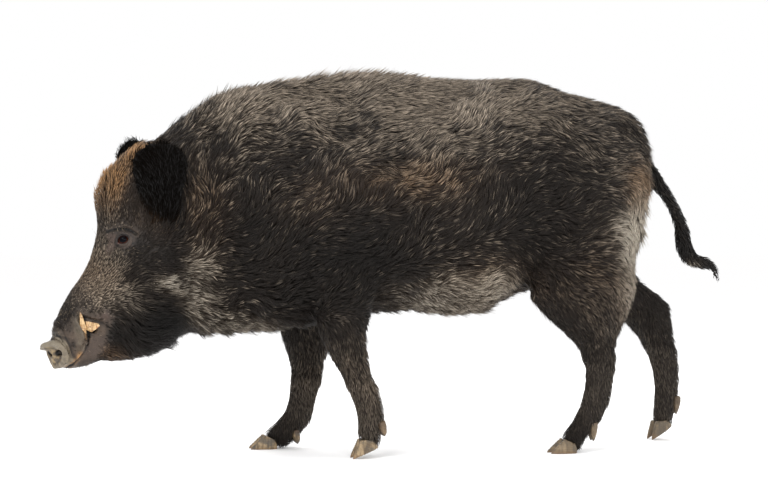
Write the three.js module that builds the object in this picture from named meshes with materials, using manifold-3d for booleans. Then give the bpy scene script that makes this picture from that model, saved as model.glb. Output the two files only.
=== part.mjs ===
// A life-size male wild boar in a slow walk, as a still museum model.
// Millimetres, +Z up, nose towards -X, the boar's left side towards -Y, feet on z = 0.
// Every solid reaches out to the tips of the coat. The body is lofted whole and then
// parted with thin cuts where a person would name its parts.
import * as THREE from "three";
import { LoftGeometry } from "three/addons/geometries/LoftGeometry.js";
import { mergeVertices } from "three/addons/utils/BufferGeometryUtils.js";
import Module from "manifold-3d";

const wasm = await Module();
wasm.setup();

const boar = new THREE.Group();
const degrees = THREE.MathUtils.degToRad;

// ---- driving dimensions ----------------------------------------------------
const gap = 0.45; // clearance of every cut between two pieces
const finest = 0.06; // slivers thinner than this are dropped
const bodySides = 24; // points round one section of the body
const legSides = 10;
const toeSides = 12;
const headStep = 38; // spacing of sections along the head
const trunkStep = 68; // spacing of sections along the trunk
const legStep = 46;
const headTurn = degrees(10); // the head looks a little to its left
const turnStart = -430; // the neck starts to turn here
const turnEnd = -570; // and has turned fully here
const eyeRadius = 12.5;
const eyeCentre = [-642, 70, 503];
const hoofLength = 67;
const hoofHeight = 34;
const hoofHalfWidth = 13;
const toeSplay = 0.03; // radians that each toe turns out
const toeSpacing = 16.5; // from a foot's middle to the middle of one toe
const wornTip = 1.5;
const dewclawSpacing = 17;
const dewclawSplay = 0.2;

const finishes = {
  coat: { color: 0x39332d, roughness: 0.9 },
  earFur: { color: 0x131312, roughness: 0.95 },
  bareSkin: { color: 0x5c524a, roughness: 0.7 },
  disc: { color: 0x8b7f6c, roughness: 0.5 },
  horn: { color: 0xa08a68, roughness: 0.6 },
  ivory: { color: 0xd9b98a, roughness: 0.35 },
  eye: { color: 0x2a1208, roughness: 0.08 },
};

// ---- helpers ---------------------------------------------------------------
const v3 = (x, y, z) => new THREE.Vector3(x, y, z);

// A power that keeps the sign, which makes a round section squarer or leaner.
const signedPower = (value, power) =>
  Math.sign(value) * Math.abs(value) ** power;

// Rows of numbers, read as stations along a body, become evenly spaced rows on one
// smooth curve through them all. distance() says how far apart two rows are, and
// step() how long one section may be there.
function smoothRows(rows, distance, step) {
  const at = [0];
  for (let i = 1; i < rows.length; i++)
    at.push(at[i - 1] + distance(rows[i - 1], rows[i]));
  const curve = new THREE.CubicInterpolant(at, rows.flat(), rows[0].length);
  const out = [];
  for (let i = 1; i < rows.length; i++) {
    const span = at[i] - at[i - 1];
    const pieces = Math.max(1, Math.round(span / step(rows[i])));
    for (let k = 0; k < pieces; k++)
      out.push([...curve.evaluate(at[i - 1] + (span * k) / pieces)]);
  }
  out.push([...rows.at(-1)]);
  return out;
}

// The closed body through a row of sections, whichever way round they were listed.
function loft(sections) {
  const [start, end] = [sections[0], sections.at(-1)];
  const spread = v3(0, 0, 0);
  start.forEach((p, i) => {
    const q = start[(i + 1) % start.length];
    spread.add(v3(0, 0, 0).crossVectors(p.clone().sub(start[0]), q.clone().sub(start[0])));
  });
  if (spread.dot(end[0].clone().sub(start[0])) < 0)
    sections = sections.map((section) => [...section].reverse());
  return new LoftGeometry(sections, { capStart: true, capEnd: true });
}

// A round tube whose radius follows a list, along a smooth curve: a tusk or a tail.
function taperedTube(points, radii, sides, steps, flatten = 1) {
  const curve = new THREE.CatmullRomCurve3(points.map((p) => v3(...p)));
  const frames = curve.computeFrenetFrames(steps);
  const radiusAt = new THREE.CubicInterpolant(
    radii.map((_, i) => i / (radii.length - 1)),
    radii,
    1,
  );
  const sections = [];
  for (let i = 0; i <= steps; i++) {
    const centre = curve.getPointAt(i / steps);
    const radius = radiusAt.evaluate(i / steps)[0];
    sections.push(
      Array.from({ length: sides }, (_, j) => {
        const angle = (j / sides) * 2 * Math.PI;
        return centre
          .clone()
          .addScaledVector(frames.normals[i], radius * Math.cos(angle))
          .addScaledVector(
            frames.binormals[i],
            radius * flatten * Math.sin(angle),
          );
      }),
    );
  }
  return loft(sections);
}

// The geometry with shared vertices only.
function welded(geometry) {
  const bare = new THREE.BufferGeometry().setAttribute(
    "position",
    geometry.getAttribute("position").clone(),
  );
  if (geometry.index) bare.setIndex(geometry.index.clone());
  return mergeVertices(bare, 1e-3);
}

// A welded geometry with every face moved out by the distance, mitred at its edges.
function fattened(geometry, distance) {
  const { position } = geometry.attributes;
  const corner = (i) => v3(0, 0, 0).fromBufferAttribute(position, i);
  const faces = Array.from({ length: position.count }, () => []);
  for (let i = 0; i < geometry.index.count; i += 3) {
    const ids = [0, 1, 2].map((k) => geometry.index.getX(i + k));
    const face = new THREE.Triangle(...ids.map(corner)).getNormal(v3(0, 0, 0));
    ids.forEach((id) => faces[id].push(face));
  }
  faces.forEach((around, i) => {
    const out = around.reduce((sum, face) => sum.add(face), v3(0, 0, 0)).normalize();
    const lean = Math.min(...around.map((face) => face.dot(out)));
    const moved = corner(i).addScaledVector(out, distance / Math.max(lean, 0.25));
    position.setXYZ(i, moved.x, moved.y, moved.z);
  });
  return geometry;
}

// A mesh, where it stands, as a solid in the boar's frame. One that is placed by a mirroring
// matrix is turned the right way out again.
function solidOf(mesh) {
  mesh.updateWorldMatrix(true, false);
  const { attributes, index } = welded(mesh.geometry).applyMatrix4(mesh.matrixWorld);
  if (mesh.matrixWorld.determinant() < 0) index.array.reverse();
  return new wasm.Manifold(
    new wasm.Mesh({
      numProp: 3,
      vertProperties: attributes.position.array,
      triVerts: new Uint32Array(index.array),
    }),
  );
}
const shapeOf = (geometry) => solidOf(new THREE.Mesh(geometry));

function geometryOf(solid) {
  const mesh = solid.getMesh();
  const points = new Float32Array(mesh.numVert * 3);
  for (let i = 0; i < mesh.numVert; i++)
    points.set(
      mesh.vertProperties.subarray(i * mesh.numProp, i * mesh.numProp + 3),
      i * 3,
    );
  const geometry = new THREE.BufferGeometry()
    .setAttribute("position", new THREE.BufferAttribute(points, 3))
    .setIndex(new THREE.BufferAttribute(new Uint32Array(mesh.triVerts), 1));
  geometry.computeVertexNormals();
  return geometry;
}

// The solid with a little room round it, to cut its bed in a neighbour.
const grown = (solid) => shapeOf(fattened(welded(geometryOf(solid)), gap));
const largest = (solid) =>
  solid.decompose().sort((a, b) => b.volume() - a.volume())[0];

// Adds a named piece to a group. pose() places it there.
function addPiece(group, name, geometry, finish, pose = () => {}) {
  const material = new THREE.MeshStandardMaterial({ ...finish, metalness: 0 });
  const mesh = new THREE.Mesh(geometry, material);
  mesh.name = name;
  group.add(mesh);
  pose(mesh);
  return mesh;
}

// Adds a piece that was cut out of the body, and so stands in the boar's frame already.
function addCut(group, name, solid, finish) {
  group.updateWorldMatrix(true, false);
  const home = group.matrixWorld.clone().invert();
  addPiece(group, name, geometryOf(solid.simplify(finest)).applyMatrix4(home), finish);
}

// What sits on the skull is placed in the straight profile and turns with the head.
const skull = new THREE.Group();
skull.position.set(turnStart, 0, 0);
skull.rotation.z = headTurn;
boar.add(skull);
const addToSkull = (name, geometry, finish, [x, y, z], pose = () => {}) =>
  addPiece(skull, name, geometry, finish, (mesh) => {
    mesh.position.set(x - turnStart, y, z);
    pose(mesh);
  });

// Turns a point of the straight profile with the neck and head.
function turned(point) {
  const share = THREE.MathUtils.smoothstep(
    turnStart - point.x,
    0,
    turnStart - turnEnd,
  );
  const pivot = v3(turnStart, 0, 0);
  return point
    .sub(pivot)
    .applyAxisAngle(v3(0, 0, 1), headTurn * share)
    .add(pivot);
}

// ---- body: one loft from the snout to the rump -------------------------------
// Each station is a section between a point of the back line and one of the belly line,
// both as [x, z]. width is half the breadth, low above 0 puts the breadth lower down,
// and square under 1 fills the section's corners.
const bodyStations = [
  { name: "snout end", top: [-789, 279], bottom: [-764, 213], width: 36, low: 0, square: 0.85 },
  { name: "snout", top: [-784, 304], bottom: [-742, 211], width: 40, low: -0.05, square: 0.8 },
  { name: "muzzle", top: [-767, 350], bottom: [-710, 217], width: 45, low: 0, square: 0.78 },
  { name: "mouth corner", top: [-745, 389], bottom: [-680, 230], width: 52, low: 0.1, square: 0.78 },
  { name: "cheek tooth", top: [-714, 434], bottom: [-646, 236], width: 61, low: 0.2, square: 0.8 },
  { name: "below the eye", top: [-691, 492], bottom: [-606, 239], width: 71, low: 0.27, square: 0.84 },
  { name: "eye", top: [-680, 550], bottom: [-569, 248], width: 84, low: 0.3, square: 0.84 },
  { name: "brow", top: [-685, 602], bottom: [-537, 270], width: 93, low: 0.3, square: 0.86 },
  { name: "forehead", top: [-664, 654], bottom: [-514, 283], width: 100, low: 0.28, square: 0.88 },
  { name: "poll", top: [-618, 700], bottom: [-491, 285], width: 109, low: 0.26, square: 0.9 },
  { name: "nape", top: [-560, 738], bottom: [-465, 285], width: 121, low: 0.24, square: 0.93 },
  { name: "upper neck", top: [-506, 773], bottom: [-438, 284], width: 136, low: 0.22, square: 0.95 },
  { name: "neck", top: [-430, 819], bottom: [-393, 286], width: 155, low: 0.19, square: 0.95 },
  { name: "neck base", top: [-355, 860], bottom: [-343, 289], width: 171, low: 0.17, square: 0.95 },
  { name: "shoulder", top: [-275, 884], bottom: [-270, 290], width: 182, low: 0.16, square: 0.94 },
  { name: "withers", top: [-180, 893], bottom: [-180, 300], width: 188, low: 0.16, square: 0.92 },
  { name: "chest", top: [-50, 906], bottom: [-55, 326], width: 189, low: 0.16, square: 0.9 },
  { name: "ribs", top: [60, 900], bottom: [60, 334], width: 190, low: 0.15, square: 0.9 },
  { name: "belly", top: [225, 897], bottom: [222, 321], width: 186, low: 0.1, square: 0.9 },
  { name: "flank", top: [345, 902], bottom: [322, 374], width: 177, low: 0.03, square: 0.9 },
  { name: "loin", top: [440, 875], bottom: [415, 392], width: 170, low: 0, square: 0.9 },
  { name: "croup", top: [535, 852], bottom: [510, 420], width: 158, low: 0, square: 0.92 },
  { name: "rump", top: [603, 831], bottom: [578, 446], width: 139, low: 0, square: 0.96 },
  { name: "tail root", top: [643, 797], bottom: [610, 474], width: 106, low: 0, square: 1 },
  { name: "rump end", top: [659, 716], bottom: [644, 560], width: 48, low: 0, square: 1 },
];

// Gentle swellings (or hollows, where rise is negative), alike on both sides. at is
// [x, y, z] in the straight profile.
const bodySwellings = [
  { name: "brow ridge", at: [-668, 60, 536], reach: 32, rise: 7 },
  { name: "eye hollow", at: [-646, 72, 500], reach: 24, rise: -4 },
  { name: "hollow before the eye", at: [-697, 44, 448], reach: 36, rise: -5 },
  { name: "tusk flange", at: [-728, 48, 300], reach: 24, rise: 8 },
  { name: "cheek bone", at: [-632, 84, 440], reach: 42, rise: 8 },
  { name: "jowl ruff", at: [-570, 96, 330], reach: 62, rise: 15 },
  { name: "shoulder blade", at: [-170, 150, 560], reach: 120, rise: 14 },
  { name: "haunch", at: [500, 130, 600], reach: 130, rise: 16 },
  { name: "hollow behind the ribs", at: [345, 165, 560], reach: 80, rise: -10 },
];

function bodySection([topX, topZ, bottomX, bottomZ, width, low, square]) {
  const middle = v3((topX + bottomX) / 2, 0, (topZ + bottomZ) / 2);
  const half = v3((topX - bottomX) / 2, 0, (topZ - bottomZ) / 2);
  return Array.from({ length: bodySides }, (_, j) => {
    const angle = (j / bodySides) * 2 * Math.PI;
    const rise = Math.sin(angle);
    const point = middle
      .clone()
      .addScaledVector(half, signedPower(rise, square));
    point.y = width * signedPower(Math.cos(angle), square) * (1 - low * rise);
    const outward = point.clone().sub(middle).normalize();
    for (const { at, reach, rise: push } of bodySwellings) {
      const away = point.distanceTo(v3(at[0], at[1] * Math.sign(point.y), at[2]));
      if (Math.abs(point.y) > 1)
        point.addScaledVector(outward, push * Math.exp(-((away / reach) ** 2)));
    }
    return turned(point);
  });
}

function makeBody() {
  const rows = bodyStations.map(({ top, bottom, width, low, square }) => [
    ...top,
    ...bottom,
    width,
    low,
    square,
  ]);
  const apart = (a, b) =>
    Math.max(
      Math.hypot(a[0] - b[0], a[1] - b[1]),
      Math.hypot(a[2] - b[2], a[3] - b[3]),
    );
  const step = (row) => (row[0] < turnStart ? headStep : trunkStep);
  return shapeOf(loft(smoothRows(rows, apart, step).map(bodySection)));
}

// ---- legs --------------------------------------------------------------------
// Stations down a leg, each [height, front x, back x, y of the middle, half the breadth].
// joint is the height of the cut between the upper and the lower leg, and the root plane
// parts the leg from the trunk: [x, z] of two points on it, seen from the side.
const legs = {
  front_left: {
    stations: [
      [610, -215, -25, -104, 52],
      [500, -222, -20, -116, 62],
      [400, -212, -38, -122, 60],
      [304, -189, -68, -120, 50],
      [232, -157, -62, -117, 38],
      [195, -135, -55, -116, 33],
      [165, -115, -46, -116, 32],
      [138, -103, -35, -116, 32],
      [110, -94, -29, -116, 29],
      [82, -90, -27, -116, 29],
      [60, -89, -35, -116, 29],
      [42, -86, -38, -116, 28],
      [29, -70, -41, -116, 24],
    ],
    root: [[-260, 322], [-20, 345]],
    joint: 178,
    toes: { x: -105, y: -116, heel: 23 },
    dewclaw: { x: -37, z: 86, tilt: 14, length: 40 },
  },
  front_right: {
    stations: [
      [610, -262, -70, 104, 52],
      [500, -272, -74, 116, 62],
      [400, -262, -88, 124, 60],
      [290, -234, -100, 128, 50],
      [232, -216, -108, 131, 40],
      [195, -205, -118, 132, 35],
      [165, -202, -124, 132, 33],
      [122, -206, -138, 132, 30],
      [93, -215, -143, 132, 29],
      [64, -236, -154, 132, 29],
      [42, -262, -173, 132, 29],
      [26, -264, -190, 132, 28],
      [10, -246, -210, 132, 24],
    ],
    root: [[-300, 318], [-60, 345]],
    joint: 178,
    toes: { x: -304, y: 132, heel: 0 },
    dewclaw: { x: -194, z: 47, tilt: 12, length: 40 },
  },
  hind_left: {
    stations: [
      [640, 400, 600, -84, 62],
      [540, 362, 622, -98, 76],
      [450, 334, 596, -106, 78],
      [372, 321, 590, -112, 72],
      [335, 348, 577, -115, 64],
      [301, 385, 560, -117, 53],
      [272, 418, 547, -118, 44],
      [243, 447, 538, -118, 37],
      [205, 464, 535, -118, 33],
      [160, 463, 531, -118, 31],
      [115, 452, 520, -118, 30],
      [73, 431, 501, -118, 30],
      [45, 411, 468, -118, 29],
      [28, 406, 455, -118, 28],
      [12, 420, 447, -118, 24],
    ],
    root: [[300, 372], [690, 452]],
    joint: 236,
    toes: { x: 371, y: -118, heel: 0 },
    dewclaw: { x: 479, z: 74, tilt: 2, length: 50 },
  },
  hind_right: {
    stations: [
      [640, 430, 610, 84, 62],
      [540, 410, 626, 98, 76],
      [450, 432, 644, 106, 76],
      [400, 470, 690, 112, 66],
      [372, 520, 734, 116, 56],
      [345, 578, 768, 118, 48],
      [300, 642, 775, 118, 42],
      [262, 679, 779, 118, 37],
      [225, 706, 785, 118, 34],
      [180, 722, 792, 118, 31],
      [135, 729, 792, 118, 30],
      [90, 727, 785, 118, 29],
      [62, 726, 776, 118, 29],
      [44, 727, 773, 118, 27],
      [30, 736, 769, 118, 23],
    ],
    root: [[380, 378], [700, 462]],
    joint: 245,
    toes: { x: 714, y: 118, heel: 33 },
    dewclaw: { x: 783, z: 110, tilt: 0, length: 50 },
  },
};

const legSection = ([height, front, back, side, breadth]) =>
  Array.from({ length: legSides }, (_, j) => {
    const angle = (j / legSides) * 2 * Math.PI;
    return v3(
      (front + back) / 2 + ((back - front) / 2) * Math.cos(angle),
      side + breadth * Math.sin(angle),
      height,
    );
  });

// One toe's horn: a pointed sole, a wall that flares towards it, and a round coronet that
// is lower at the heel. The tip is at the origin and the toe points to -x.
function toeGeometry() {
  const outline = (place) =>
    Array.from({ length: toeSides }, (_, j) => {
      const angle = (j / toeSides) * 2 * Math.PI;
      return v3(...place((1 - Math.cos(angle)) / 2, Math.sin(angle)));
    });
  const pointed = (along) => 0.55 + 0.45 * along;
  return loft([
    outline((along, side) => [along * hoofLength, side * hoofHalfWidth * pointed(along), 0]),
    outline((along, side) => [
      4 + along * (hoofLength - 3),
      side * (hoofHalfWidth + 1) * pointed(along),
      6,
    ]),
    outline((along, side) => [
      hoofLength * (0.52 + 0.43 * along),
      side * hoofHalfWidth * 0.94,
      hoofHeight - 13 * along,
    ]),
  ]);
}

// A dewclaw is a small blunt horn hanging from its base at the origin.
function dewclawGeometry(length) {
  const profile = [
    [0, 0],
    [9.5, -1],
    [10.5, -14],
    [8, -30],
    [3.5, 4 - length],
    [0, -length],
  ].map(([radius, height]) => new THREE.Vector2(radius, height));
  return new THREE.LatheGeometry(profile.reverse(), 8).rotateX(Math.PI / 2);
}

const floorCut = shapeOf(new THREE.BoxGeometry(2400, 1200, 200).translate(0, 0, -100));

// Adds a toe. A foot with its heel up stands on a small flat worn into its toes' tips.
function addToe(foot, name, { heel }, across) {
  const toe = addPiece(foot, name, toeGeometry(), finishes.horn, (mesh) => {
    mesh.position.set(0, across * toeSpacing, heel ? -wornTip : 0);
    mesh.rotation.set(0, -degrees(heel), -across * toeSplay, "ZYX");
  });
  if (heel) {
    const worn = geometryOf(solidOf(toe).subtract(floorCut));
    toe.geometry = worn.applyMatrix4(toe.matrixWorld.clone().invert());
  }
  return toe;
}

// Adds a foot's horn, and gives its leg as it comes from the stations.
function makeLeg([name, { stations, root, joint, toes, dewclaw }]) {
  const side = Math.sign(toes.y);
  const foot = new THREE.Group();
  foot.position.set(toes.x, toes.y, 0);
  boar.add(foot);
  const horns = [["inner", -side], ["outer", side]].flatMap(([place, across]) => [
    addToe(foot, `${name}_hoof_${place}`, toes, across),
    addPiece(
      foot,
      `${name}_dewclaw_${place}`,
      dewclawGeometry(dewclaw.length),
      finishes.horn,
      (claw) => {
        claw.position.set(dewclaw.x - toes.x, across * dewclawSpacing, dewclaw.z);
        claw.rotation.set(across * -dewclawSplay, -degrees(dewclaw.tilt), 0);
      },
    ),
  ]);
  const apart = (a, b) => Math.hypot(a[0] - b[0], a[1] - b[1]);
  const rows = smoothRows(stations, apart, () => legStep);
  const whole = shapeOf(loft(rows.map(legSection)));
  return { name, root, joint, foot, horns: horns.map(solidOf), whole };
}

// ---- tail --------------------------------------------------------------------
const tailPoints = [
  [628, 0, 704],
  [662, 0, 672],
  [703, 0, 628],
  [733, 0, 584],
  [752, 0, 538],
  [760, 0, 490],
  [779, 0, 456],
  [812, 0, 449],
  [840, 0, 432],
  [843, 0, 406],
];
const tailRadii = [32, 27, 20, 17, 17, 20, 23, 20, 15, 4];

// ---- head pieces ---------------------------------------------------------------
// Skull pieces are placed in the straight profile. The left one is at -y.
const earShape = {
  height: 186,
  breadth: [28, 38, 48, 58, 65, 68, 66, 26], // half of it, from the root to the tip
  thickness: [15, 12, 9, 7.5, 6.5, 6, 5, 3],
  cup: 20, // how deep the shell is hollowed
};
// facing is how far the opening turns forward and lean how far the tip leans out.
const ears = {
  left: { base: [-557, -94, 541], facing: 30, lean: 11 },
  right: { base: [-560, 90, 556], facing: 34, lean: 4 },
};

function earGeometry() {
  const rings = 9;
  const sides = 14;
  const at = earShape.breadth.map((_, i) => i / (earShape.breadth.length - 1));
  const breadth = new THREE.CubicInterpolant(at, earShape.breadth, 1);
  const thickness = new THREE.CubicInterpolant(at, earShape.thickness, 1);
  const sections = [];
  for (let i = 0; i <= rings; i++) {
    const t = i / rings;
    const half = breadth.evaluate(t)[0];
    const thick = thickness.evaluate(t)[0];
    const depth = earShape.cup * Math.sin(Math.PI * Math.min(1, t * 0.8 + 0.15));
    sections.push(
      Array.from({ length: sides }, (_, j) => {
        const angle = (j / sides) * 2 * Math.PI;
        const across = half * Math.cos(angle);
        const hollow = depth * (1 - Math.cos(angle) ** 2) - depth * 0.5;
        return v3(across, hollow + thick * Math.sin(angle), t * earShape.height);
      }),
    );
  }
  return loft(sections);
}

const addEar = (name, { base, facing, lean }) => {
  const side = Math.sign(base[1]);
  return addToSkull(name, earGeometry(), finishes.earFur, base, (ear) => {
    ear.scale.y = -side;
    ear.rotation.set(degrees(-side * lean), 0, degrees(side * facing), "ZXY");
  });
};

const addEye = (name, side) =>
  addToSkull(name, new THREE.SphereGeometry(eyeRadius, 12, 8), finishes.eye, [
    eyeCentre[0],
    side * eyeCentre[1],
    eyeCentre[2],
  ]);

// Lower tusks curve up outside the lip, and the upper ones flare out behind them.
const tusks = {
  lower: {
    points: [[-724, 43, 268], [-728, 54, 292], [-733, 60, 316], [-738, 60, 342]],
    radii: [7.5, 7.5, 6.5, 1.5],
    flatten: 0.8,
  },
  upper: {
    points: [[-706, 34, 301], [-709, 50, 307], [-707, 62, 311], [-694, 69, 314]],
    radii: [10, 10.5, 10, 5],
    flatten: 0.95,
  },
};

function addTusk(name, { points, radii, flatten }, side) {
  const root = points[0];
  const curve = points.map(([x, y, z]) => [x - root[0], side * (y - root[1]), z - root[2]]);
  const tooth = taperedTube(curve, radii, 7, 6, flatten);
  return addToSkull(name, tooth, finishes.ivory, [root[0], side * root[1], root[2]]);
}

// The snout disc: a dished oval plate with a rolled rim and two nostrils.
const disc = { centre: [-776, 0, 248], pitch: 21, yaw: 8, halfHeight: 35, halfWidth: 43, thickness: 18 };

function addDisc() {
  const profile = [
    [0, 0],
    [0.92, 0],
    [0.98, 0.5],
    [1, 0.78],
    [0.93, 1],
    [0.8, 0.95],
    [0, 0.86],
  ].map(([radius, height]) => new THREE.Vector2(radius, height * disc.thickness));
  const plate = new THREE.LatheGeometry(profile, 18)
    .rotateX(Math.PI / 2)
    .scale(disc.halfHeight, disc.halfWidth, 1);
  const dished = [-1, 1].reduce((solid, side) => {
    const nostril = new THREE.CylinderGeometry(11, 9, 14, 10)
      .rotateX(Math.PI / 2)
      .scale(0.6, 1, 1)
      .translate(4, side * 19, disc.thickness - 3);
    return solid.subtract(shapeOf(nostril));
  }, shapeOf(plate));
  return addToSkull("snout_disc", geometryOf(dished), finishes.disc, disc.centre, (mesh) =>
    mesh.rotation.set(0, -degrees(90 + disc.pitch), degrees(disc.yaw), "ZYX"),
  );
}

// The lower jaw is what lies inside this outline, seen from the side as [x, z].
const jawOutline = [
  [-790, 200],
  [-766, 219],
  [-751, 230],
  [-737, 247],
  [-728, 268],
  [-716, 284],
  [-694, 293],
  [-668, 297],
  [-650, 286],
  [-636, 262],
  [-628, 200],
];

function makeJawPrism() {
  const shape = new THREE.Shape(
    jawOutline.map(([x, z]) => new THREE.Vector2(x - turnStart, z)),
  );
  const prism = new THREE.ExtrudeGeometry(shape, { depth: 240, bevelEnabled: false })
    .rotateX(Math.PI / 2)
    .translate(0, 120, 0);
  return shapeOf(prism.applyMatrix4(skull.matrixWorld));
}

// ---- cutting the whole into its parts ------------------------------------------
// Lines are two points [x, z] of the boar seen from its left side. A solid is trimmed to
// what lies left or right of the way from the first point to the second.
function leftOf(solid, [[x1, z1], [x2, z2]], offset = 0) {
  const normal = v3(z1 - z2, 0, x2 - x1).normalize();
  return solid.trimByPlane(normal.toArray(), normal.dot(v3(x1, 0, z1)) + offset);
}
const rightOf = (solid, [start, end], offset = 0) => leftOf(solid, [end, start], offset);

const neckLine = [[-318, 200], [-352, 1000]]; // the neck is left of it
const headLine = [[-470, 250], [-578, 800]]; // the head is left of it

function assemble() {
  const legPieces = Object.entries(legs).map(makeLeg);
  let body = legPieces.reduce((all, { whole }) => all.add(whole), makeBody());
  for (const { name, root, joint, foot, horns, whole } of legPieces) {
    body = body.subtract(rightOf(grown(whole), root, -gap));
    const limb = horns.reduce(
      (rest, horn) => rest.subtract(grown(horn)),
      rightOf(whole, root).subtract(floorCut),
    );
    const cut = [[-1, joint], [1, joint]];
    addCut(foot, `${name}_upper_leg`, largest(leftOf(limb, cut, gap / 2)), finishes.coat);
    addCut(foot, `${name}_lower_leg`, largest(rightOf(limb, cut, gap / 2)), finishes.coat);
  }

  const tail = addPiece(boar, "tail", taperedTube(tailPoints, tailRadii, 9, 20), finishes.coat);
  body = body.subtract(grown(solidOf(tail)));
  addCut(boar, "trunk", largest(rightOf(body, neckLine, gap / 2)), finishes.coat);

  const fittings = [addDisc()];
  for (const [name, side] of [["left", -1], ["right", 1]]) {
    fittings.push(addEar(`ear_${name}`, ears[name]), addEye(`eye_${name}`, side));
    for (const [level, spec] of Object.entries(tusks))
      fittings.push(addTusk(`${level}_tusk_${name}`, spec, side));
  }
  const front = fittings.reduce(
    (rest, fitting) => rest.subtract(grown(solidOf(fitting))),
    leftOf(body, neckLine, gap / 2),
  );
  addCut(boar, "neck", largest(rightOf(front, headLine, gap / 2)), finishes.coat);
  const head = largest(leftOf(front, headLine, gap / 2));
  const jawPrism = makeJawPrism();
  addCut(skull, "lower_jaw", largest(head.intersect(jawPrism)), finishes.bareSkin);
  addCut(skull, "head", largest(head.subtract(grown(jawPrism))), finishes.coat);
}

assemble();

// The origin is on the floor, under the middle of the whole boar.
const middle = new THREE.Box3().setFromObject(boar, true).getCenter(v3(0, 0, 0));
boar.position.set(-middle.x, -middle.y, 0);

export default boar;
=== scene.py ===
import math
import bmesh
import bpy
import numpy as np
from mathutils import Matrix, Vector
from mathutils.bvhtree import BVHTree
from mathutils.kdtree import KDTree


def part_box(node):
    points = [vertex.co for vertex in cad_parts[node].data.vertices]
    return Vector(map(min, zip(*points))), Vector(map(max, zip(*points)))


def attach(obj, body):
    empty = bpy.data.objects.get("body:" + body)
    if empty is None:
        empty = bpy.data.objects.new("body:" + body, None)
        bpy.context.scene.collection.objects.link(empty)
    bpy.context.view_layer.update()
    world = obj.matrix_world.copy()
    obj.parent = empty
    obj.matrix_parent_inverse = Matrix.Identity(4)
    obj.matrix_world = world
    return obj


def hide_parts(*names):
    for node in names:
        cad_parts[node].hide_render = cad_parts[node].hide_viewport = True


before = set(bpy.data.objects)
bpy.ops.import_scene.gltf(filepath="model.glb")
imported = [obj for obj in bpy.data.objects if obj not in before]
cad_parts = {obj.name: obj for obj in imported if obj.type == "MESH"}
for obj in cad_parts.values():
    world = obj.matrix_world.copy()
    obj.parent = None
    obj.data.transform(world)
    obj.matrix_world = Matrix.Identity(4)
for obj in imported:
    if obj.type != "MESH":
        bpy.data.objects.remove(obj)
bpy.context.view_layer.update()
scene = bpy.context.scene
millimetre = 0.001
legNames = ["front_left", "front_right", "hind_left", "hind_right"]
fleshNodes = ["trunk", "neck", "head", "lower_jaw", "snout_disc", "ear_left", "ear_right", "tail"]
fleshNodes += [leg + part for leg in legNames for part in ("_upper_leg", "_lower_leg")]

# The camera and the lamps, in metres and watts
view = {
    "place": (-1.0363, -4.3847, 0.505),
    "turn": -13,
    "lens": 88.64,
    "sensor": 36,
    "reach": 60,  # far enough for the floor's pale edge
    "world": 1.0,
    "exposure": 0.0,
}


def makeCamera():
    camera = bpy.data.objects.new("camera", bpy.data.cameras.new("camera"))
    scene.collection.objects.link(camera)
    camera.data.lens = view["lens"]
    camera.data.sensor_width = view["sensor"]
    camera.data.clip_end = view["reach"]
    camera.location = view["place"]
    camera.rotation_euler = (math.radians(90), 0, math.radians(view["turn"]))
    scene.camera = camera


lamps = {
    # name: (place, aimed at, size, watts)
    "key": ((-1.9, -2.6, 3.1), (-0.1, 0, 0.5), 2.0, 64),
    "catch": ((0.3, -3.2, 1.7), (-0.6, 0, 0.5), 0.5, 26),
    "top": ((0.5, 0.3, 3.4), (0.1, 0, 0.5), 2.6, 60),
    "fill": ((2.9, -2.4, 1.5), (0.1, 0, 0.4), 2.0, 24),
    "back": ((0.6, 3.4, 2.2), (0, 0, 0.5), 2.4, 40),
}


def makeLights():
    for name, (place, aim, size, watts) in lamps.items():
        lamp = bpy.data.lights.new(name, "AREA")
        lamp.shape, lamp.size, lamp.energy = "DISK", size, watts
        holder = bpy.data.objects.new(name, lamp)
        scene.collection.objects.link(holder)
        holder.location = place
        holder.rotation_euler = (Vector(aim) - Vector(place)).to_track_quat("-Z", "Y").to_euler()
    world = bpy.data.worlds.new("studio")
    world.use_nodes = True
    world.node_tree.nodes["Background"].inputs["Color"].default_value = (1, 1, 1, 1)
    world.node_tree.nodes["Background"].inputs["Strength"].default_value = view["world"]
    scene.world = world
    scene.view_settings.view_transform = "Standard"
    scene.view_settings.exposure = view["exposure"]


def coordsOf(mesh):
    co = np.empty(len(mesh.vertices) * 3, np.float32)
    mesh.vertices.foreach_get("co", co)
    return co.reshape(-1, 3).astype(np.float64)


def normalsOf(mesh):
    no = np.empty(len(mesh.vertices) * 3, np.float32)
    mesh.vertex_normals.foreach_get("vector", no)
    return no.reshape(-1, 3).astype(np.float64)


def setCoords(mesh, co):
    mesh.vertices.foreach_set("co", co.astype(np.float32).ravel())
    mesh.update()


def edgesOf(mesh):
    ends = np.empty(len(mesh.edges) * 2, np.int32)
    mesh.edges.foreach_get("vertices", ends)
    return ends.reshape(-1, 2)


def trianglesOf(mesh):
    mesh.calc_loop_triangles()
    tris = np.empty(len(mesh.loop_triangles) * 3, np.int32)
    mesh.loop_triangles.foreach_get("vertices", tris)
    return tris.reshape(-1, 3)


def meshFrom(name, co, faces, sides=3):
    # a mesh from arrays, every face with the same number of sides
    mesh = bpy.data.meshes.new(name)
    mesh.vertices.add(len(co))
    mesh.vertices.foreach_set("co", np.asarray(co, np.float32).ravel())
    mesh.loops.add(faces.size)
    mesh.loops.foreach_set("vertex_index", faces.astype(np.int32).ravel())
    mesh.polygons.add(len(faces))
    mesh.polygons.foreach_set("loop_start", np.arange(0, faces.size, sides, dtype=np.int32))
    mesh.update(calc_edges=True)
    mesh.polygons.foreach_set("use_smooth", np.ones(len(faces), bool))
    return mesh


def addObject(name, mesh):
    thing = bpy.data.objects.new(name, mesh)
    scene.collection.objects.link(thing)
    return thing


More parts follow.
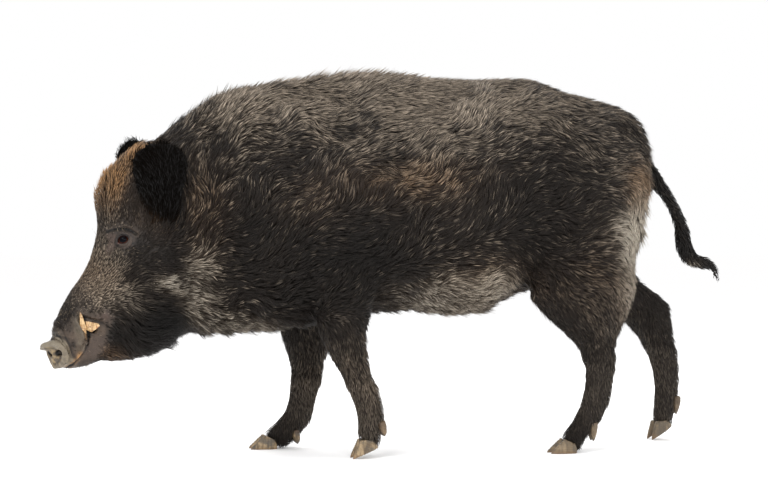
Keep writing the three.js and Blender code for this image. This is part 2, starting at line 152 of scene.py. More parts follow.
def setAttribute(mesh, name, kind, values):
    attribute = mesh.attributes.new(name, kind, "POINT")
    key = {"FLOAT": "value", "FLOAT_VECTOR": "vector", "FLOAT_COLOR": "color"}[kind]
    attribute.data.foreach_set(key, np.asarray(values, np.float32).ravel())


def neighbourMean(values, ends, count):
    # the mean of each vertex's neighbours, column by column
    total = np.empty_like(values)
    for k in range(values.shape[1]):
        total[:, k] = np.bincount(ends[:, 0], values[ends[:, 1], k], len(values))
        total[:, k] += np.bincount(ends[:, 1], values[ends[:, 0], k], len(values))
    return total / count[:, None]


def smoothed(values, ends, rounds, weight=0.5, back=0.0):
    flat = values.ndim == 1
    out = values[:, None].copy() if flat else values.copy()
    count = np.maximum(np.bincount(ends.ravel(), minlength=len(out)), 1)
    weight = np.broadcast_to(np.asarray(weight, float), (len(out),))[:, None]
    for _ in range(rounds):
        out += weight * (neighbourMean(out, ends, count) - out)
        if back:
            out -= weight * back * (neighbourMean(out, ends, count) - out)
    return out[:, 0] if flat else out


def mergedCopy(nodeNames):
    # one mesh from the named CAD nodes, with their corners joined
    parts, faces, start = [], [], 0
    for name in nodeNames:
        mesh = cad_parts[name].data
        parts.append(coordsOf(mesh))
        faces.append(trianglesOf(mesh) + start)
        start += len(mesh.vertices)
    mesh = meshFrom("merged", np.concatenate(parts), np.concatenate(faces))
    builder = bmesh.new()
    builder.from_mesh(mesh)
    bmesh.ops.remove_doubles(builder, verts=builder.verts, dist=1e-5)
    builder.to_mesh(mesh)
    builder.free()
    return mesh


def remeshed(mesh, voxel):
    holder = addObject("remesh", mesh)
    modifier = holder.modifiers.new("remesh", "REMESH")
    modifier.mode, modifier.voxel_size = "VOXEL", voxel
    return bakedMesh(holder)


def bakedMesh(holder):
    # the object's mesh with its modifiers worked in; the object goes
    graph = bpy.context.evaluated_depsgraph_get()
    graph.update()
    mesh = bpy.data.meshes.new_from_object(holder.evaluated_get(graph))
    bpy.data.objects.remove(holder)
    return mesh


def ease(t):
    t = np.clip(t, 0, 1)
    return t * t * (3 - 2 * t)


def lattice(cell, seed):
    # a random value in 0..1 for each whole-number cell
    a = cell.astype(np.int64)
    h = a[..., 0] * 374761393 + a[..., 1] * 668265263 + a[..., 2] * 2147483647 + seed * 974634777
    h = (h ^ (h >> 13)) * 1274126177
    return ((h ^ (h >> 16)) & 0xFFFFFF) / 0xFFFFFF


def noise(co, size, seed=0):
    # smooth value noise in 0..1 with cells of the given size
    p = np.asarray(co) / size
    cell = np.floor(p)
    f = ease(p - cell)
    total = np.zeros(len(p))
    for dx in (0, 1):
        for dy in (0, 1):
            for dz in (0, 1):
                w = np.abs(1 - dx - f[:, 0]) * np.abs(1 - dy - f[:, 1]) * np.abs(1 - dz - f[:, 2])
                total += w * lattice(cell + np.array([dx, dy, dz]), seed)
    return total


def unit(v):
    return v / np.maximum(np.linalg.norm(v, axis=-1, keepdims=True), 1e-9)


# The head is turned to the left about an upright line. Places on it are written for the
# straight animal, in millimetres, and turned with it.
headPose = {"turn": math.radians(10), "pivot": -454.011, "full": -594.011}


def turnedShare(x):
    return ease((headPose["pivot"] - x) / (headPose["pivot"] - headPose["full"]))


def aroundPivot(co, angle):
    out = np.array(co, float)
    dx, dy = out[:, 0] - headPose["pivot"], out[:, 1].copy()
    out[:, 0] = headPose["pivot"] + dx * np.cos(angle) - dy * np.sin(angle)
    out[:, 1] = dx * np.sin(angle) + dy * np.cos(angle)
    return out


def straightened(metres):
    co = np.asarray(metres, float) * 1000
    return aroundPivot(co, -headPose["turn"] * turnedShare(co[:, 0]))


def posed(millimetres):
    co = np.atleast_2d(np.asarray(millimetres, float))
    return aroundPivot(co, headPose["turn"] * turnedShare(co[:, 0])) / 1000


# Which way the hair lies, [x, z, angle] seen from the boar's left: 0 lies back, 90 up
# and -90 down
coatLie = [
    [-455, 790, 62], [-390, 825, 52], [-330, 855, 30], [-255, 870, 16], [-160, 875, 6],
    [-20, 870, 0], [120, 870, 0], [270, 880, -4], [365, 850, -12], [465, 825, -20], [555, 775, -42],
    [-520, 705, 72], [-520, 645, 78], [-520, 580, 66], [-515, 520, 54], [-520, 465, 38],
    [-505, 390, 22], [-505, 330, 12], [-455, 730, 58], [-455, 665, 72], [-455, 595, 74],
    [-455, 535, 62], [-450, 480, 22], [-440, 415, 22], [-435, 335, 14], [-390, 760, 36],
    [-390, 700, 50], [-390, 625, 72], [-390, 550, 60], [-390, 480, 26], [-385, 390, 24],
    [-330, 795, 14], [-330, 720, 30], [-330, 650, 54], [-330, 575, 58], [-330, 505, 42],
    [-325, 425, 36], [-340, 340, 22], [-265, 795, 4], [-265, 720, 12], [-265, 650, 40],
    [-265, 575, 46], [-265, 505, 60], [-265, 430, 46], [-200, 805, -18], [-195, 740, -24],
    [-200, 660, 16], [-200, 580, 56], [-200, 505, 62], [-200, 420, 34], [-135, 815, -32],
    [-135, 750, -30], [-135, 675, 4], [-135, 580, 54], [-135, 505, 54], [-135, 420, 14],
    [-70, 815, -30], [-70, 750, 2], [-70, 670, 2], [-70, 580, 48], [-70, 505, 50], [-70, 420, 18],
    [-60, 360, 10], [0, 815, -2], [0, 725, 8], [0, 645, 20], [0, 575, 44], [0, 495, 26],
    [5, 395, -2], [65, 830, -2], [65, 725, 4], [65, 645, 30], [65, 575, 44], [65, 495, 36],
    [70, 420, 8], [70, 360, -14], [130, 820, 22], [130, 725, 28], [130, 650, 38], [130, 575, 44],
    [130, 495, 40], [135, 410, 4], [140, 355, -14], [200, 820, 26], [200, 725, 26], [200, 650, 44],
    [200, 575, 40], [200, 495, 44], [205, 420, 4], [270, 820, 14], [270, 730, 26], [270, 650, 28],
    [270, 580, 38], [270, 495, 20], [270, 420, -20], [335, 805, 4], [335, 730, 2], [335, 655, 0],
    [335, 575, 14], [335, 495, 2], [335, 420, -34], [345, 355, -46], [405, 805, -8],
    [405, 730, -11], [405, 655, -12], [405, 575, -8], [405, 495, 2], [405, 410, -18],
    [415, 315, -50], [475, 795, -19], [475, 720, -22], [475, 645, -30], [475, 570, -28],
    [475, 495, -10], [480, 420, -16], [480, 340, -50], [545, 740, -42], [550, 670, -52],
    [555, 600, -64], [545, 530, -66], [535, 450, -74], [550, 360, -58],
]
headLie = [
    [-810, 305, 62], [-795, 350, 64], [-770, 400, 62], [-750, 445, 66], [-735, 495, 74],
    [-725, 545, 80], [-725, 595, 76], [-705, 640, 60], [-675, 675, 52], [-640, 705, 38],
    [-600, 715, 34], [-755, 370, 40], [-715, 395, 30], [-715, 355, 28], [-690, 435, 46],
    [-690, 370, 22], [-650, 455, 24], [-650, 400, 18], [-650, 355, 14], [-700, 505, 70],
    [-690, 560, 80], [-655, 580, 82], [-625, 605, 84], [-600, 535, 60], [-615, 480, 24],
    [-585, 460, 14], [-585, 420, 18], [-550, 440, 24], [-580, 385, 2], [-535, 390, 8],
    [-650, 310, -12], [-600, 325, -8], [-545, 350, -4], [-675, 265, -28], [-635, 265, -36],
    [-590, 275, -34], [-545, 305, -26], [-715, 280, -10], [-730, 245, -6], [-765, 235, 0],
]


def lieField(straight, guides, reach=34):
    # hair direction in the x-z plane from the guides nearest to each point
    table = np.array(guides, float)
    angle = np.radians(table[:, 2])
    out = np.zeros((len(straight), 3))
    for first in range(0, len(straight), 20000):
        part = straight[first : first + 20000]
        d2 = (part[:, None, 0] - table[None, :, 0]) ** 2
        d2 += (part[:, None, 2] - table[None, :, 1]) ** 2
        d2 -= d2.min(1, keepdims=True)
        w = np.exp(-d2 / (2 * reach**2))
        out[first : first + 20000, 0] = w @ np.cos(angle)
        out[first : first + 20000, 2] = w @ np.sin(angle)
    return unit(out)


# The skin: voxels in metres, other lengths in mm on the straightened animal
skinShape = {
    "voxel": 0.0031,
    "rounds": 56,
    "triangles": 94000,
    "reach": (-698, 348),  # ahead of this x and under this z the skin is made twice as fine
    "disc": (52, 44, -14),  # and again round the disc: across, up and behind its face
    "eye": (-666, 503, 36),  # and round the eye: x, z and reach
    "head": (-620, 60, 0.93),  # ahead of this x, over this length, thinning is held back
    "ripple": (70, 33, 0.16),  # sizes of the two waves, and their height over the depth
}
# What the coat is like over each kind of node, in mm and degrees
coatTable = {
    #            depth length lift width smoothing
    "trunk": (15, 36, 17, 3.5, 0.5),
    "neck": (15, 34, 18, 3.2, 0.5),
    "head": (3.2, 17, 12, 2.1, 0.14),
    "lower_jaw": (1.2, 8, 12, 2.0, 0.14),
    "snout_disc": (0, 2, 10, 1.5, 0.05),
    "ear": (2.0, 15, 25, 1.15, 0.1),
    "tail": (6, 26, 14, 3.0, 0.3),
    "upper_leg": (8, 24, 14, 3.0, 0.5),
    "lower_leg": (2.4, 19, 9, 1.9, 0.3),
}
# Where the coat is longer or shorter: x, z, reach x, reach z, then what is added
coatChanges = [
    # crest of the mane
    {"at": (-230, 905, 300, 60), "depth": 8, "length": 18, "lift": 33, "middle": 0.11},
    {"at": (-480, 800, 130, 70), "depth": 6, "length": 16, "lift": 33, "middle": 0.11},  # nape
    {"at": (-622, 312, 80, 52), "depth": 6, "length": 34, "lift": 6, "width": 0.8},  # jowl
    {"at": (-600, 270, 60, 34), "length": 18, "lift": 24, "width": 0.2},  # under the jowl
    # behind the jowl
    {"at": (-560, 330, 60, 50), "depth": 6, "length": 18, "lift": 4, "width": 0.6},
    {"at": (60, 350, 230, 45), "depth": -6, "length": -10, "lift": -2, "width": -0.6},  # belly
    {"at": (-650, 700, 60, 45), "depth": 1, "length": 16, "lift": 20},  # crown
    {"at": (-700, 630, 26, 70), "depth": 1, "length": 13, "lift": 34},  # forehead
    {"at": (198, 318, 24, 24), "depth": 4, "length": 22, "lift": 36, "width": 1.4},  # sheath
    {"at": (-430, 330, 110, 40), "depth": -3, "lift": 18},  # throat
    {"at": (-770, 350, 60, 80), "depth": -1.5, "length": -7, "lift": -2, "width": -0.6},  # snout
    # round the eye
    {"at": (-666, 505, 40, 36), "depth": -1, "length": -9, "lift": -3, "width": -0.6},
    {"at": (612, 540, 44, 140), "length": 2, "lift": 18, "width": 0.8},  # back of the rump
    {"at": (-525, 712, 26, 30), "length": 10, "lift": 6},  # corner of the ear
    {"at": (60, 318, 170, 22), "length": 4, "lift": 14},  # fringe of the belly
    {"at": (-676, 244, 36, 22), "length": 20, "lift": 30, "width": 0.4},  # chin
    {"at": (-620, 400, 60, 50), "depth": 1, "length": 12, "lift": 8},  # cheek
]
# Paths on the side of the face, [x, z], with height and half width in mm
facePaths = {
    "mouth": (
        [(-790, 210), (-772, 224), (-757, 240), (-749, 254), (-743, 268), (-740, 284)], -5.0, 2.4
    ),
    "flange": (
        [(-766, 336), (-768, 322), (-760, 308), (-754, 294), (-751, 278), (-753, 262)], 15.0, 7.6
    ),
    "flangeLow": ([(-753, 262), (-759, 248), (-770, 236)], 7.0, 7.0),
    "flangeBack": ([(-752, 330), (-750, 316), (-743, 300), (-741, 286)], -5.0, 3.0),
    "lowerLip": ([(-735, 272), (-722, 264), (-708, 262)], 4.0, 13),
    "lipRoll": ([(-748, 278), (-746, 262), (-752, 246), (-764, 230), (-776, 218)], 2.6, 3.4),
    "chin": ([(-712, 238), (-730, 228), (-750, 218)], 1.8, 7.0),
    "foldAbove": ([(-756, 333), (-740, 327), (-722, 322), (-708, 316)], -3.0, 2.8),
    "bump": ([(-708, 336), (-698, 334)], 3.2, 9.0),
    "pit": ([(-774, 272), (-770, 264)], -2.6, 3.0),
    "tearFold": ([(-677, 491), (-683, 480), (-685, 465)], -1.8, 2.0),
    "browCrease": ([(-695, 522), (-682, 528), (-664, 530), (-652, 526), (-640, 517)], -5.0, 3.6),
    "browRidge": ([(-684, 521), (-666, 522), (-654, 518)], 1.6, 3.0),
    "bagFold": ([(-672, 481), (-656, 479), (-642, 485)], -1.4, 2.0),
    "cheekFold": ([(-700, 300), (-694, 282), (-700, 262)], -2.0, 4.0),
}
bareOutline = [
    (-860, 294), (-816, 300), (-794, 304), (-780, 322), (-772, 344), (-756, 350), (-722, 338),
    (-700, 346), (-688, 328), (-696, 290), (-704, 262), (-720, 234), (-764, 190), (-860, 190),
]
# bare skin ahead of the eye
tearOutline = [
    (-697, 516), (-688, 520), (-678, 516), (-678, 484), (-688, 470), (-699, 463), (-707, 467),
    (-699, 483),
]
eyeBare = {"x": -666, "z": 506, "reachX": 23, "reachZ": 22, "edge": 0.22}
snoutDisc = {
    "centre": (-800, 0, 248), "pitch": 21, "yaw": 8, "halfWidth": 41, "halfHeight": 33,
    "rim": 2.8, "rimAt": 0.86, "rimWidth": 0.15, "hollow": 2.4, "lip": 6.0, "notch": 2.6,
    "nearSlope": 0.45, "farSlope": 0.26,
    "nostril": (18.5, 3.0, 12.0, 6.4, 17.0),  # aside, up, half width, half height, depth
    "folds": 1.5, "foldPitch": 10.5,
}


def discAxes():
    # across to the near side, up along the disc, and out of it
    pitch, yaw = math.radians(snoutDisc["pitch"]), math.radians(snoutDisc["yaw"])
    level = -math.cos(pitch)
    out = np.array([level * math.cos(yaw), level * math.sin(yaw), -math.sin(pitch)])
    across = np.array([math.sin(yaw), -math.cos(yaw), 0])
    return across, np.cross(across, out) * -1, out


def discPlace(straight):
    return (straight - snoutDisc["centre"]) @ np.stack(discAxes(), 1)


def kindOf(name):
    for kind in ("upper_leg", "lower_leg", "ear"):
        if kind in name:
            return kind
    return name


def nodeIndex(co):
    # which flesh node each point belongs to
    verts, faces, owner, start = [], [], [], 0
    for number, name in enumerate(fleshNodes):
        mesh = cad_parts[name].data
        verts.append(coordsOf(mesh))
        faces.append(trianglesOf(mesh) + start)
        owner += [number] * len(faces[-1])
        start += len(mesh.vertices)
    tree = BVHTree.FromPolygons(np.concatenate(verts).tolist(), np.concatenate(faces).tolist())
    return np.array([owner[tree.find_nearest(p)[2]] for p in co.tolist()])


def outlineDistance(points, outline):
    # signed distance in mm to a closed outline in the x-z plane, positive inside
    a = np.array(outline, float)
    b = np.roll(a, -1, 0)
    nearest = np.full(len(points), 1e9)
    inside = np.zeros(len(points), bool)
    for (ax, az), (bx, bz) in zip(a, b):
        nearest = np.minimum(nearest, segmentDistance(points, (ax, az), (bx, bz)))
        crosses = (az > points[:, 1]) != (bz > points[:, 1])
        with np.errstate(divide="ignore", invalid="ignore"):
            at = ax + (points[:, 1] - az) * (bx - ax) / (bz - az)
        inside ^= crosses & (points[:, 0] < at)
    return np.where(inside, nearest, -nearest)


def segmentDistance(points, start, end):
    d = np.subtract(end, start)
    t = np.clip(((points - start) @ d) / (d @ d), 0, 1)
    return np.linalg.norm(points - start - t[:, None] * d, axis=1)


def pathDistance(points, path):
    return np.min([segmentDistance(points, a, b) for a, b in zip(path, path[1:])], 0)


def blob(straight, at):
    # a soft ellipse seen from the side: x, z, reach x, reach z and a tilt in degrees
    x, z, rx, rz = at[:4]
    tilt = math.radians(at[4] if len(at) > 4 else 0)
    dx, dz = straight[:, 0] - x, straight[:, 2] - z
    u, v = dx * math.cos(tilt) + dz * math.sin(tilt), -dx * math.sin(tilt) + dz * math.cos(tilt)
    return np.exp(-1.1 * ((u / rx) ** 2 + (v / rz) ** 2) ** 1.5)


def coatFields(co, nodes, ends):
    # depth, length, lift, width and smoothing of the coat at every skin point
    rows = np.array([coatTable[kindOf(name)] for name in fleshNodes], float)[nodes]
    rows = smoothed(rows, ends, 26)
    straight = straightened(co)
    for change in coatChanges:
        w = blob(straight, change["at"])
        if "middle" in change:
            w = w * np.exp(-((co[:, 1] / change["middle"]) ** 2))
        for k, key in enumerate(("depth", "length", "lift", "width")):
            rows[:, k] += w * change.get(key, 0)
    high = ease((straight[:, 2] - 560) / 260) * ease((straight[:, 0] + 560) / 120)
    rows[:, 0] += 5 * high * (nodes < 2)  # the coat is deeper over the back
    rows[:, 2] += 12 * ease((95 - straight[:, 2]) / 40)  # hair stands off over the hooves
    rows[:, 0] = np.maximum(rows[:, 0], 0)
    return rows


gazePoint = (-690, 152, 519)  # where each eye looks, on its own side


def eyePlaces():
    # centre, outward axis and upward axis of each eye, in metres
    places = {}
    for side, name in ((-1, "eye_left"), (1, "eye_right")):
        low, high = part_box(name)
        centre = np.array((low + high) / 2)
        tip = posed(np.multiply(gazePoint, (1, side, 1)))[0]
        axis = unit(tip - centre)
        up = np.array([-0.3, 0, 0.95])
        up = unit(up - axis * (up @ axis))
        places[name] = (centre, axis, up)
    return places


def discFolds(straight, d):
    # creases that run round the snout behind the disc, crest at 1 and floor at -1
    behind = -d + 7 * (noise(straight, 22, 9) - 0.5)
    wave = np.cos((behind - 4) * 2 * math.pi / snoutDisc["foldPitch"])
    fade = ease((behind + 4) / 4) * ease((34 - behind) / 24)
    return wave * fade * ease((straight[:, 2] - 222 - 0.8 * behind) / 22)


def nostrils(a, b):
    # 1 on the edge of a nostril and less inside, at each place on the disc
    aside, high, wide, tall, _ = snoutDisc["nostril"]
    off = np.abs(a) - aside
    return (off / wide) ** 2 + ((b - high - 0.12 * off) / tall) ** 2


def refined(mesh, chosen):
    # every triangle whose edges are chosen is split in four
    builder = bmesh.new()
    builder.from_mesh(mesh)
    builder.verts.ensure_lookup_table()
    pick = set(np.flatnonzero(chosen).tolist())
    edges = [e for e in builder.edges if e.verts[0].index in pick and e.verts[1].index in pick]
    bmesh.ops.subdivide_edges(builder, edges=edges, cuts=1, use_grid_fill=True)
    bmesh.ops.triangulate(builder, faces=[f for f in builder.faces if len(f.verts) > 3])
    builder.to_mesh(mesh)
    builder.free()
    mesh.update()


def sculptFace(mesh):
    x0, z0 = skinShape["reach"]
    straight = straightened(coordsOf(mesh))
    refined(mesh, (straight[:, 0] < x0) & (straight[:, 2] < z0))
    place = discPlace(straightened(coordsOf(mesh)))
    wide, tall, behind = skinShape["disc"]
    size = (place[:, 0] / wide) ** 2 + (place[:, 1] / tall) ** 2
    refined(mesh, (size < 1) & (place[:, 2] > behind))
    straight = straightened(coordsOf(mesh))
    eyeX, eyeZ, reach = skinShape["eye"]
    refined(mesh, np.hypot(straight[:, 0] - eyeX, straight[:, 2] - eyeZ) < reach)
    co, normal, ends = coordsOf(mesh), normalsOf(mesh), edgesOf(mesh)
    straight = straightened(co)
    front = ease((-685 - straight[:, 0]) / 12)
    co = smoothed(co, ends, 6, 0.5 * front)
    flat = straight[:, (0, 2)]
    near = (straight[:, 0] < -600) & (straight[:, 2] < 600)
    rise = np.zeros(len(co))
    sideways = ease((np.abs(normal[:, 1]) - 0.15) / 0.4)
    for path, height, breadth in facePaths.values():
        d = pathDistance(flat[near], path)
        rise[near] += height * np.exp(-((d / breadth) ** 2)) * sideways[near]
    out = discAxes()[2]
    a, b, d = discPlace(straight).T
    behind = -d
    folds = discFolds(straight, d)
    uneven = 0.2 + 1.5 * noise(straight, 24, 8)
    rise += snoutDisc["folds"] * folds * uneven * near
    rise += 5.0 * np.exp(-(((behind - 20) / 11) ** 2) - (a / 18) ** 2) * (b > 0)
    wrinkle = noise(straight * (1, 1, 0.5), 6.5, 3) - 0.5
    bare = outlineDistance(flat, bareOutline)
    rise += 1.2 * wrinkle * ease(bare / 12) * ease((behind - 2) / 8)
    co += normal * (rise * millimetre)[:, None]
    # the disc: a thick rim, a lip along its top, a notch below and two nostrils
    size = np.sqrt((a / snoutDisc["halfWidth"]) ** 2 + (b / snoutDisc["halfHeight"]) ** 2)
    face = ease((d - 4) / 9) * ease((1.3 - size) / 0.2)
    lip = ease((b - 8) / 12) * ease((14 - a) / 18)
    far = snoutDisc["farSlope"] * (a + 5) * (1 - lip)
    turn = np.where(a > -5, -snoutDisc["nearSlope"] * (a + 5), far)
    co += out * (turn * ease((d + 12) / 26) * ease((1.5 - size) / 0.3) * millimetre)[:, None]
    push = snoutDisc["rim"] * np.exp(-(((size - snoutDisc["rimAt"]) / snoutDisc["rimWidth"]) ** 2))
    push -= snoutDisc["hollow"] * np.exp(-((size / 0.5) ** 2))
    push += snoutDisc["lip"] * lip
    push -= snoutDisc["notch"] * np.exp(-((a / 4) ** 2)) * ease((-b - 12) / 10)
    push += 1.0 * (noise(straight, 9, 14) - 0.5)
    push -= snoutDisc["nostril"][4] * np.exp(-(nostrils(a, b) ** 2.0))
    co += out * (push * face * millimetre)[:, None]
    setCoords(mesh, co)
    return ends


def buildSkin():
    mesh = remeshed(mergedCopy(fleshNodes), skinShape["voxel"])
    co, ends = coordsOf(mesh), edgesOf(mesh)
    print("skin remeshed:", len(co), "points")
    nodes = nodeIndex(co)
    fields = coatFields(co, nodes, ends)
    co = smoothed(co, ends, skinShape["rounds"], fields[:, 4])
    setCoords(mesh, co)
    normal = normalsOf(mesh)
    depth = smoothed(fields[:, 0], ends, 20)
    co -= normal * (depth * millimetre)[:, None]
    wide, narrow, high = skinShape["ripple"]
    ripple = noise(co * 1000, wide, 5) + 0.5 * noise(co * 1000, narrow, 6) - 0.75
    co += normal * (ripple * depth * high * millimetre)[:, None]
    co = smoothed(co, ends, 6, 0.5 * ease(depth / 8))
    setCoords(mesh, co)
    return thinned(mesh)


def thinned(mesh):
    # fewer triangles over the body, the head kept fine
    holder = addObject("thin", mesh)
    straight = straightened(coordsOf(mesh))
    start, length, held = skinShape["head"]
    weight = 1 - held * ease((start - straight[:, 0]) / length)
    group = holder.vertex_groups.new(name="thin")
    for level in range(1, 11):
        chosen = np.flatnonzero(np.round(weight * 10).astype(int) == level)
        group.add(chosen.tolist(), level / 10, "REPLACE")
    holder.modifiers.new("triangles", "TRIANGULATE")
    modifier = holder.modifiers.new("thin", "DECIMATE")
    total = 2 * len(mesh.polygons)
    modifier.ratio = skinShape["triangles"] / total
    modifier.vertex_group = "thin"
    modifier.vertex_group_factor = 1.0
    result = bakedMesh(holder)
    print("skin thinned:", len(result.polygons), "faces")
    return result


makeCamera()
makeLights()
skinMesh = buildSkin()
sculptFace(skinMesh)
skin = addObject("skin", skinMesh)
skinMesh.polygons.foreach_set("use_smooth", np.ones(len(skinMesh.polygons), bool))


# Markings that skin and coat share, each as soft ellipses seen from the side:
# x, z, reach x, reach z, tilt, amount
markings = {
    "grizzle": [
        (-160, 860, 440, 120, 0, 0.62), (120, 850, 400, 110, 0, 0.5), (20, 745, 330, 110, 0, 0.4),
        (-440, 720, 110, 170, 20, 0.25), (-350, 820, 150, 80, 0, 0.3), (-610, 500, 60, 70, 0, 0.1),
        (-640, 400, 110, 110, 40, 0.2), (-715, 430, 66, 110, 40, 0.3),
        (520, 700, 190, 210, 0, 0.27), (-260, 580, 110, 120, 0, 0.1), (100, 500, 330, 120, 0, 0.12),
        (-690, 500, 40, 90, 0, 0.32), (-470, 420, 120, 110, 0, 0.16), (-600, 330, 90, 60, 0, 0.12),
        (480, 420, 120, 130, 0, 0.2), (-110, 150, 200, 190, 0, 0.16), (600, 160, 260, 190, 0, 0.14),
        (-735, 375, 60, 44, 30, 0.32),
    ],
    "ochre": [
        (-686, 640, 40, 76, -10, 1.0), (-636, 694, 56, 40, 20, 0.9), (-482, 560, 60, 110, 0, 0.26),
        (-610, 560, 50, 60, 0, 0.2), (-20, 625, 190, 55, 0, 0.32), (-250, 570, 80, 60, 0, 0.15),
        (190, 400, 150, 70, 0, 0.25), (560, 640, 56, 66, 0, 0.5), (480, 400, 130, 120, 0, 0.2),
        (-575, 540, 30, 40, 0, 0.4), (-690, 250, 50, 26, 0, 0.5), (-730, 420, 60, 70, 0, 0.2),
        (-100, 200, 100, 120, 0, 0.12),
    ],
    "cream": [
        (-511, 368, 60, 46, 0, 0.42), (-425, 318, 100, 26, 0, 0.45), (-500, 440, 46, 34, 20, 0.4),
        (-330, 306, 60, 16, 0, 0.35), (-576, 408, 38, 12, 18, 1.0), (-560, 388, 30, 10, 10, 0.5),
        (95, 372, 150, 52, 0, 0.58), (198, 320, 30, 24, 0, 0.95), (215, 400, 50, 40, 0, 0.5),
        (570, 600, 44, 50, 10, 0.35), (545, 540, 72, 52, 25, 1.0), (530, 475, 50, 44, 25, 0.75),
        (540, 396, 44, 60, 20, 0.42), (748, 452, 22, 18, 0, 0.6), (-650, 360, 44, 34, 0, 0.12),
        (-690, 455, 30, 30, 0, 0.08), (-715, 385, 50, 40, 0, 0.1), (-110, 150, 200, 200, 0, 0.08),
        (600, 150, 280, 200, 0, 0.06),
    ],
    "dark": [
        (-150, 430, 190, 110, 0, 0.5), (430, 400, 150, 140, 0, 0.25), (-600, 314, 76, 58, 0, 0.92),
        (-385, 480, 60, 90, 0, 0.4), (330, 560, 200, 100, 10, 0.2), (-600, 520, 50, 56, 0, 0.26),
        (-690, 285, 18, 34, 0, 0.6), (-548, 420, 20, 60, 30, 0.4), (-455, 610, 30, 160, 0, 0.25),
        (-167, 751, 14, 30, 40, 0.6), (-117, 783, 14, 44, 40, 0.7), (-54, 690, 30, 12, 0, 0.6),
        (-560, 545, 36, 50, 0, 0.85), (-600, 440, 90, 80, 0, 0.14), (-655, 500, 26, 20, 0, 0.4),
    ],
}
# how dark each kind of node is, whatever its place
darkNodes = {"ear": 1.0, "lower_leg": 0.06, "upper_leg": 0.12, "tail": 0.7}


def marksAt(co, straight, darkness):
    # four masks at each point, as the channels of one colour attribute
    marks = np.zeros((len(co), 4))
    uneven = 0.62 + 0.76 * noise(straight, 30, 11)
    for k, name in enumerate(("grizzle", "ochre", "cream", "dark")):
        clear = np.ones(len(co))
        for x, z, rx, rz, tilt, amount in markings[name]:
            clear *= 1 - amount * blob(straight, (x, z, rx, rz, tilt))
        marks[:, k] = 1 - clear
    marks[:, :3] *= uneven[:, None]
    marks[:, 3] = np.maximum(marks[:, 3], darkness)
    marks[:, 0] = np.clip(marks[:, 0] + 0.1, 0, 1) * (1 - 0.85 * marks[:, 3])
    marks[:, 1] *= 1 - 0.8 * darkness
    return np.clip(marks, 0, 1)


# where the ears' hair fans out from, x and y, and the line that the tail's hair follows
earAxes = {"ear_left": (-581, -94), "ear_right": (-584, 90)}
tailLine = np.array([
    (604, 704), (638, 672), (679, 628), (709, 584), (728, 538), (736, 490), (755, 456), (788, 449),
    (816, 432), (819, 406),
], float)


def nearPath(flat, path, reach):
    return np.exp(-((pathDistance(flat, path) / reach) ** 2))


def readSkin(mesh):
    # everything the coat needs to know at each skin point
    co, normal, ends = coordsOf(mesh), normalsOf(mesh), edgesOf(mesh)
    straight = straightened(co)
    nodes = nodeIndex(co)
    kinds = np.array([kindOf(name) for name in fleshNodes])[nodes]
    fields = coatFields(co, nodes, ends)
    lie = lieField(straight, coatLie)
    face = lieField(straight, headLie, 22)
    toHead = ease((-505 - straight[:, 0]) / 60)
    toHead = np.maximum(toHead, np.isin(kinds, ("head", "lower_jaw", "snout_disc")) * 1.0)
    lie += toHead[:, None] * (face - lie)
    down = np.array([0.12, 0, -0.99])
    legs = np.isin(kinds, ("upper_leg", "lower_leg")) * 1.0
    fore, hind = ease((400 - straight[:, 2]) / 120), ease((350 - straight[:, 2]) / 130)
    legs = legs * np.where(straight[:, 0] < 100, fore, hind)
    lie += legs[:, None] * (down - lie)
    rear = ease((straight[:, 0] - 560) / 40) * ease((720 - straight[:, 2]) / 80)
    lie += (rear * (kinds == "trunk"))[:, None] * (np.array([0.25, 0, -0.97]) - lie)
    for name, (x, y) in earAxes.items():
        ear = nodes == fleshNodes.index(name)
        fan = np.stack([straight[:, 0] - x - 12, straight[:, 1] - y, np.full(len(co), 95.0)], 1)
        lie[ear] = unit(fan * (0.9, 0.9, 1))[ear]
    tail = kinds == "tail"
    step = unit(np.diff(tailLine, axis=0))
    middle = (tailLine[1:] + tailLine[:-1]) / 2
    near = np.argmin(((straight[tail][:, None, (0, 2)] - middle[None]) ** 2).sum(2), 1)
    lie[tail] = np.stack([step[near, 0], 0 * near, step[near, 1]], 1)
    lie = unit(smoothed(lie, ends, 8))
    # the head's own directions turn with the head
    angle = headPose["turn"] * turnedShare(straight[:, 0])
    turned = lie.copy()
    turned[:, 0] = lie[:, 0] * np.cos(angle) - lie[:, 1] * np.sin(angle)
    turned[:, 1] = lie[:, 0] * np.sin(angle) + lie[:, 1] * np.cos(angle)
    along = turned - (turned * normal).sum(1, keepdims=True) * normal
    along = unit(along + 0.02 * np.cross(normal, (0, 1, 0)))
    darkness = np.zeros(len(co))
    for kind, amount in darkNodes.items():
        darkness[kinds == kind] = amount
    darkness = smoothed(darkness, ends, 6)
    flat = straight[:, (0, 2)]
    uneven = 14 * (noise(straight, 9, 12) - 0.5)
    bare = ease((outlineDistance(flat, bareOutline) + 11 + uneven) / 26)
    bare = np.maximum(bare, ease((discPlace(straight)[:, 2] + 8) / 6)) * (straight[:, 0] < -650)
    rough = noise(straight, 6, 13) - 0.5
    high = (straight[:, 2] - eyeBare["z"]) / eyeBare["reachZ"]
    off = np.hypot((straight[:, 0] - eyeBare["x"]) / eyeBare["reachX"], high) + 0.3 * rough
    ring = ease((1.08 - off) / eyeBare["edge"])
    crease = nearPath(flat, facePaths["browCrease"][0], 5.8)
    tear = ease((outlineDistance(flat, tearOutline) + 5 + 12 * rough) / 9) * (straight[:, 0] < -660)
    eyeSkin = np.maximum(np.maximum(ring, crease), 0.7 * tear)
    return {
        "co": co, "normal": normal, "straight": straight, "nodes": nodes, "kinds": kinds,
        "fields": fields, "lie": along, "marks": marksAt(co, straight, darkness),
        "bare": np.maximum(bare, eyeSkin), "ring": ring, "tear": tear,
        "triangles": trianglesOf(mesh),
    }


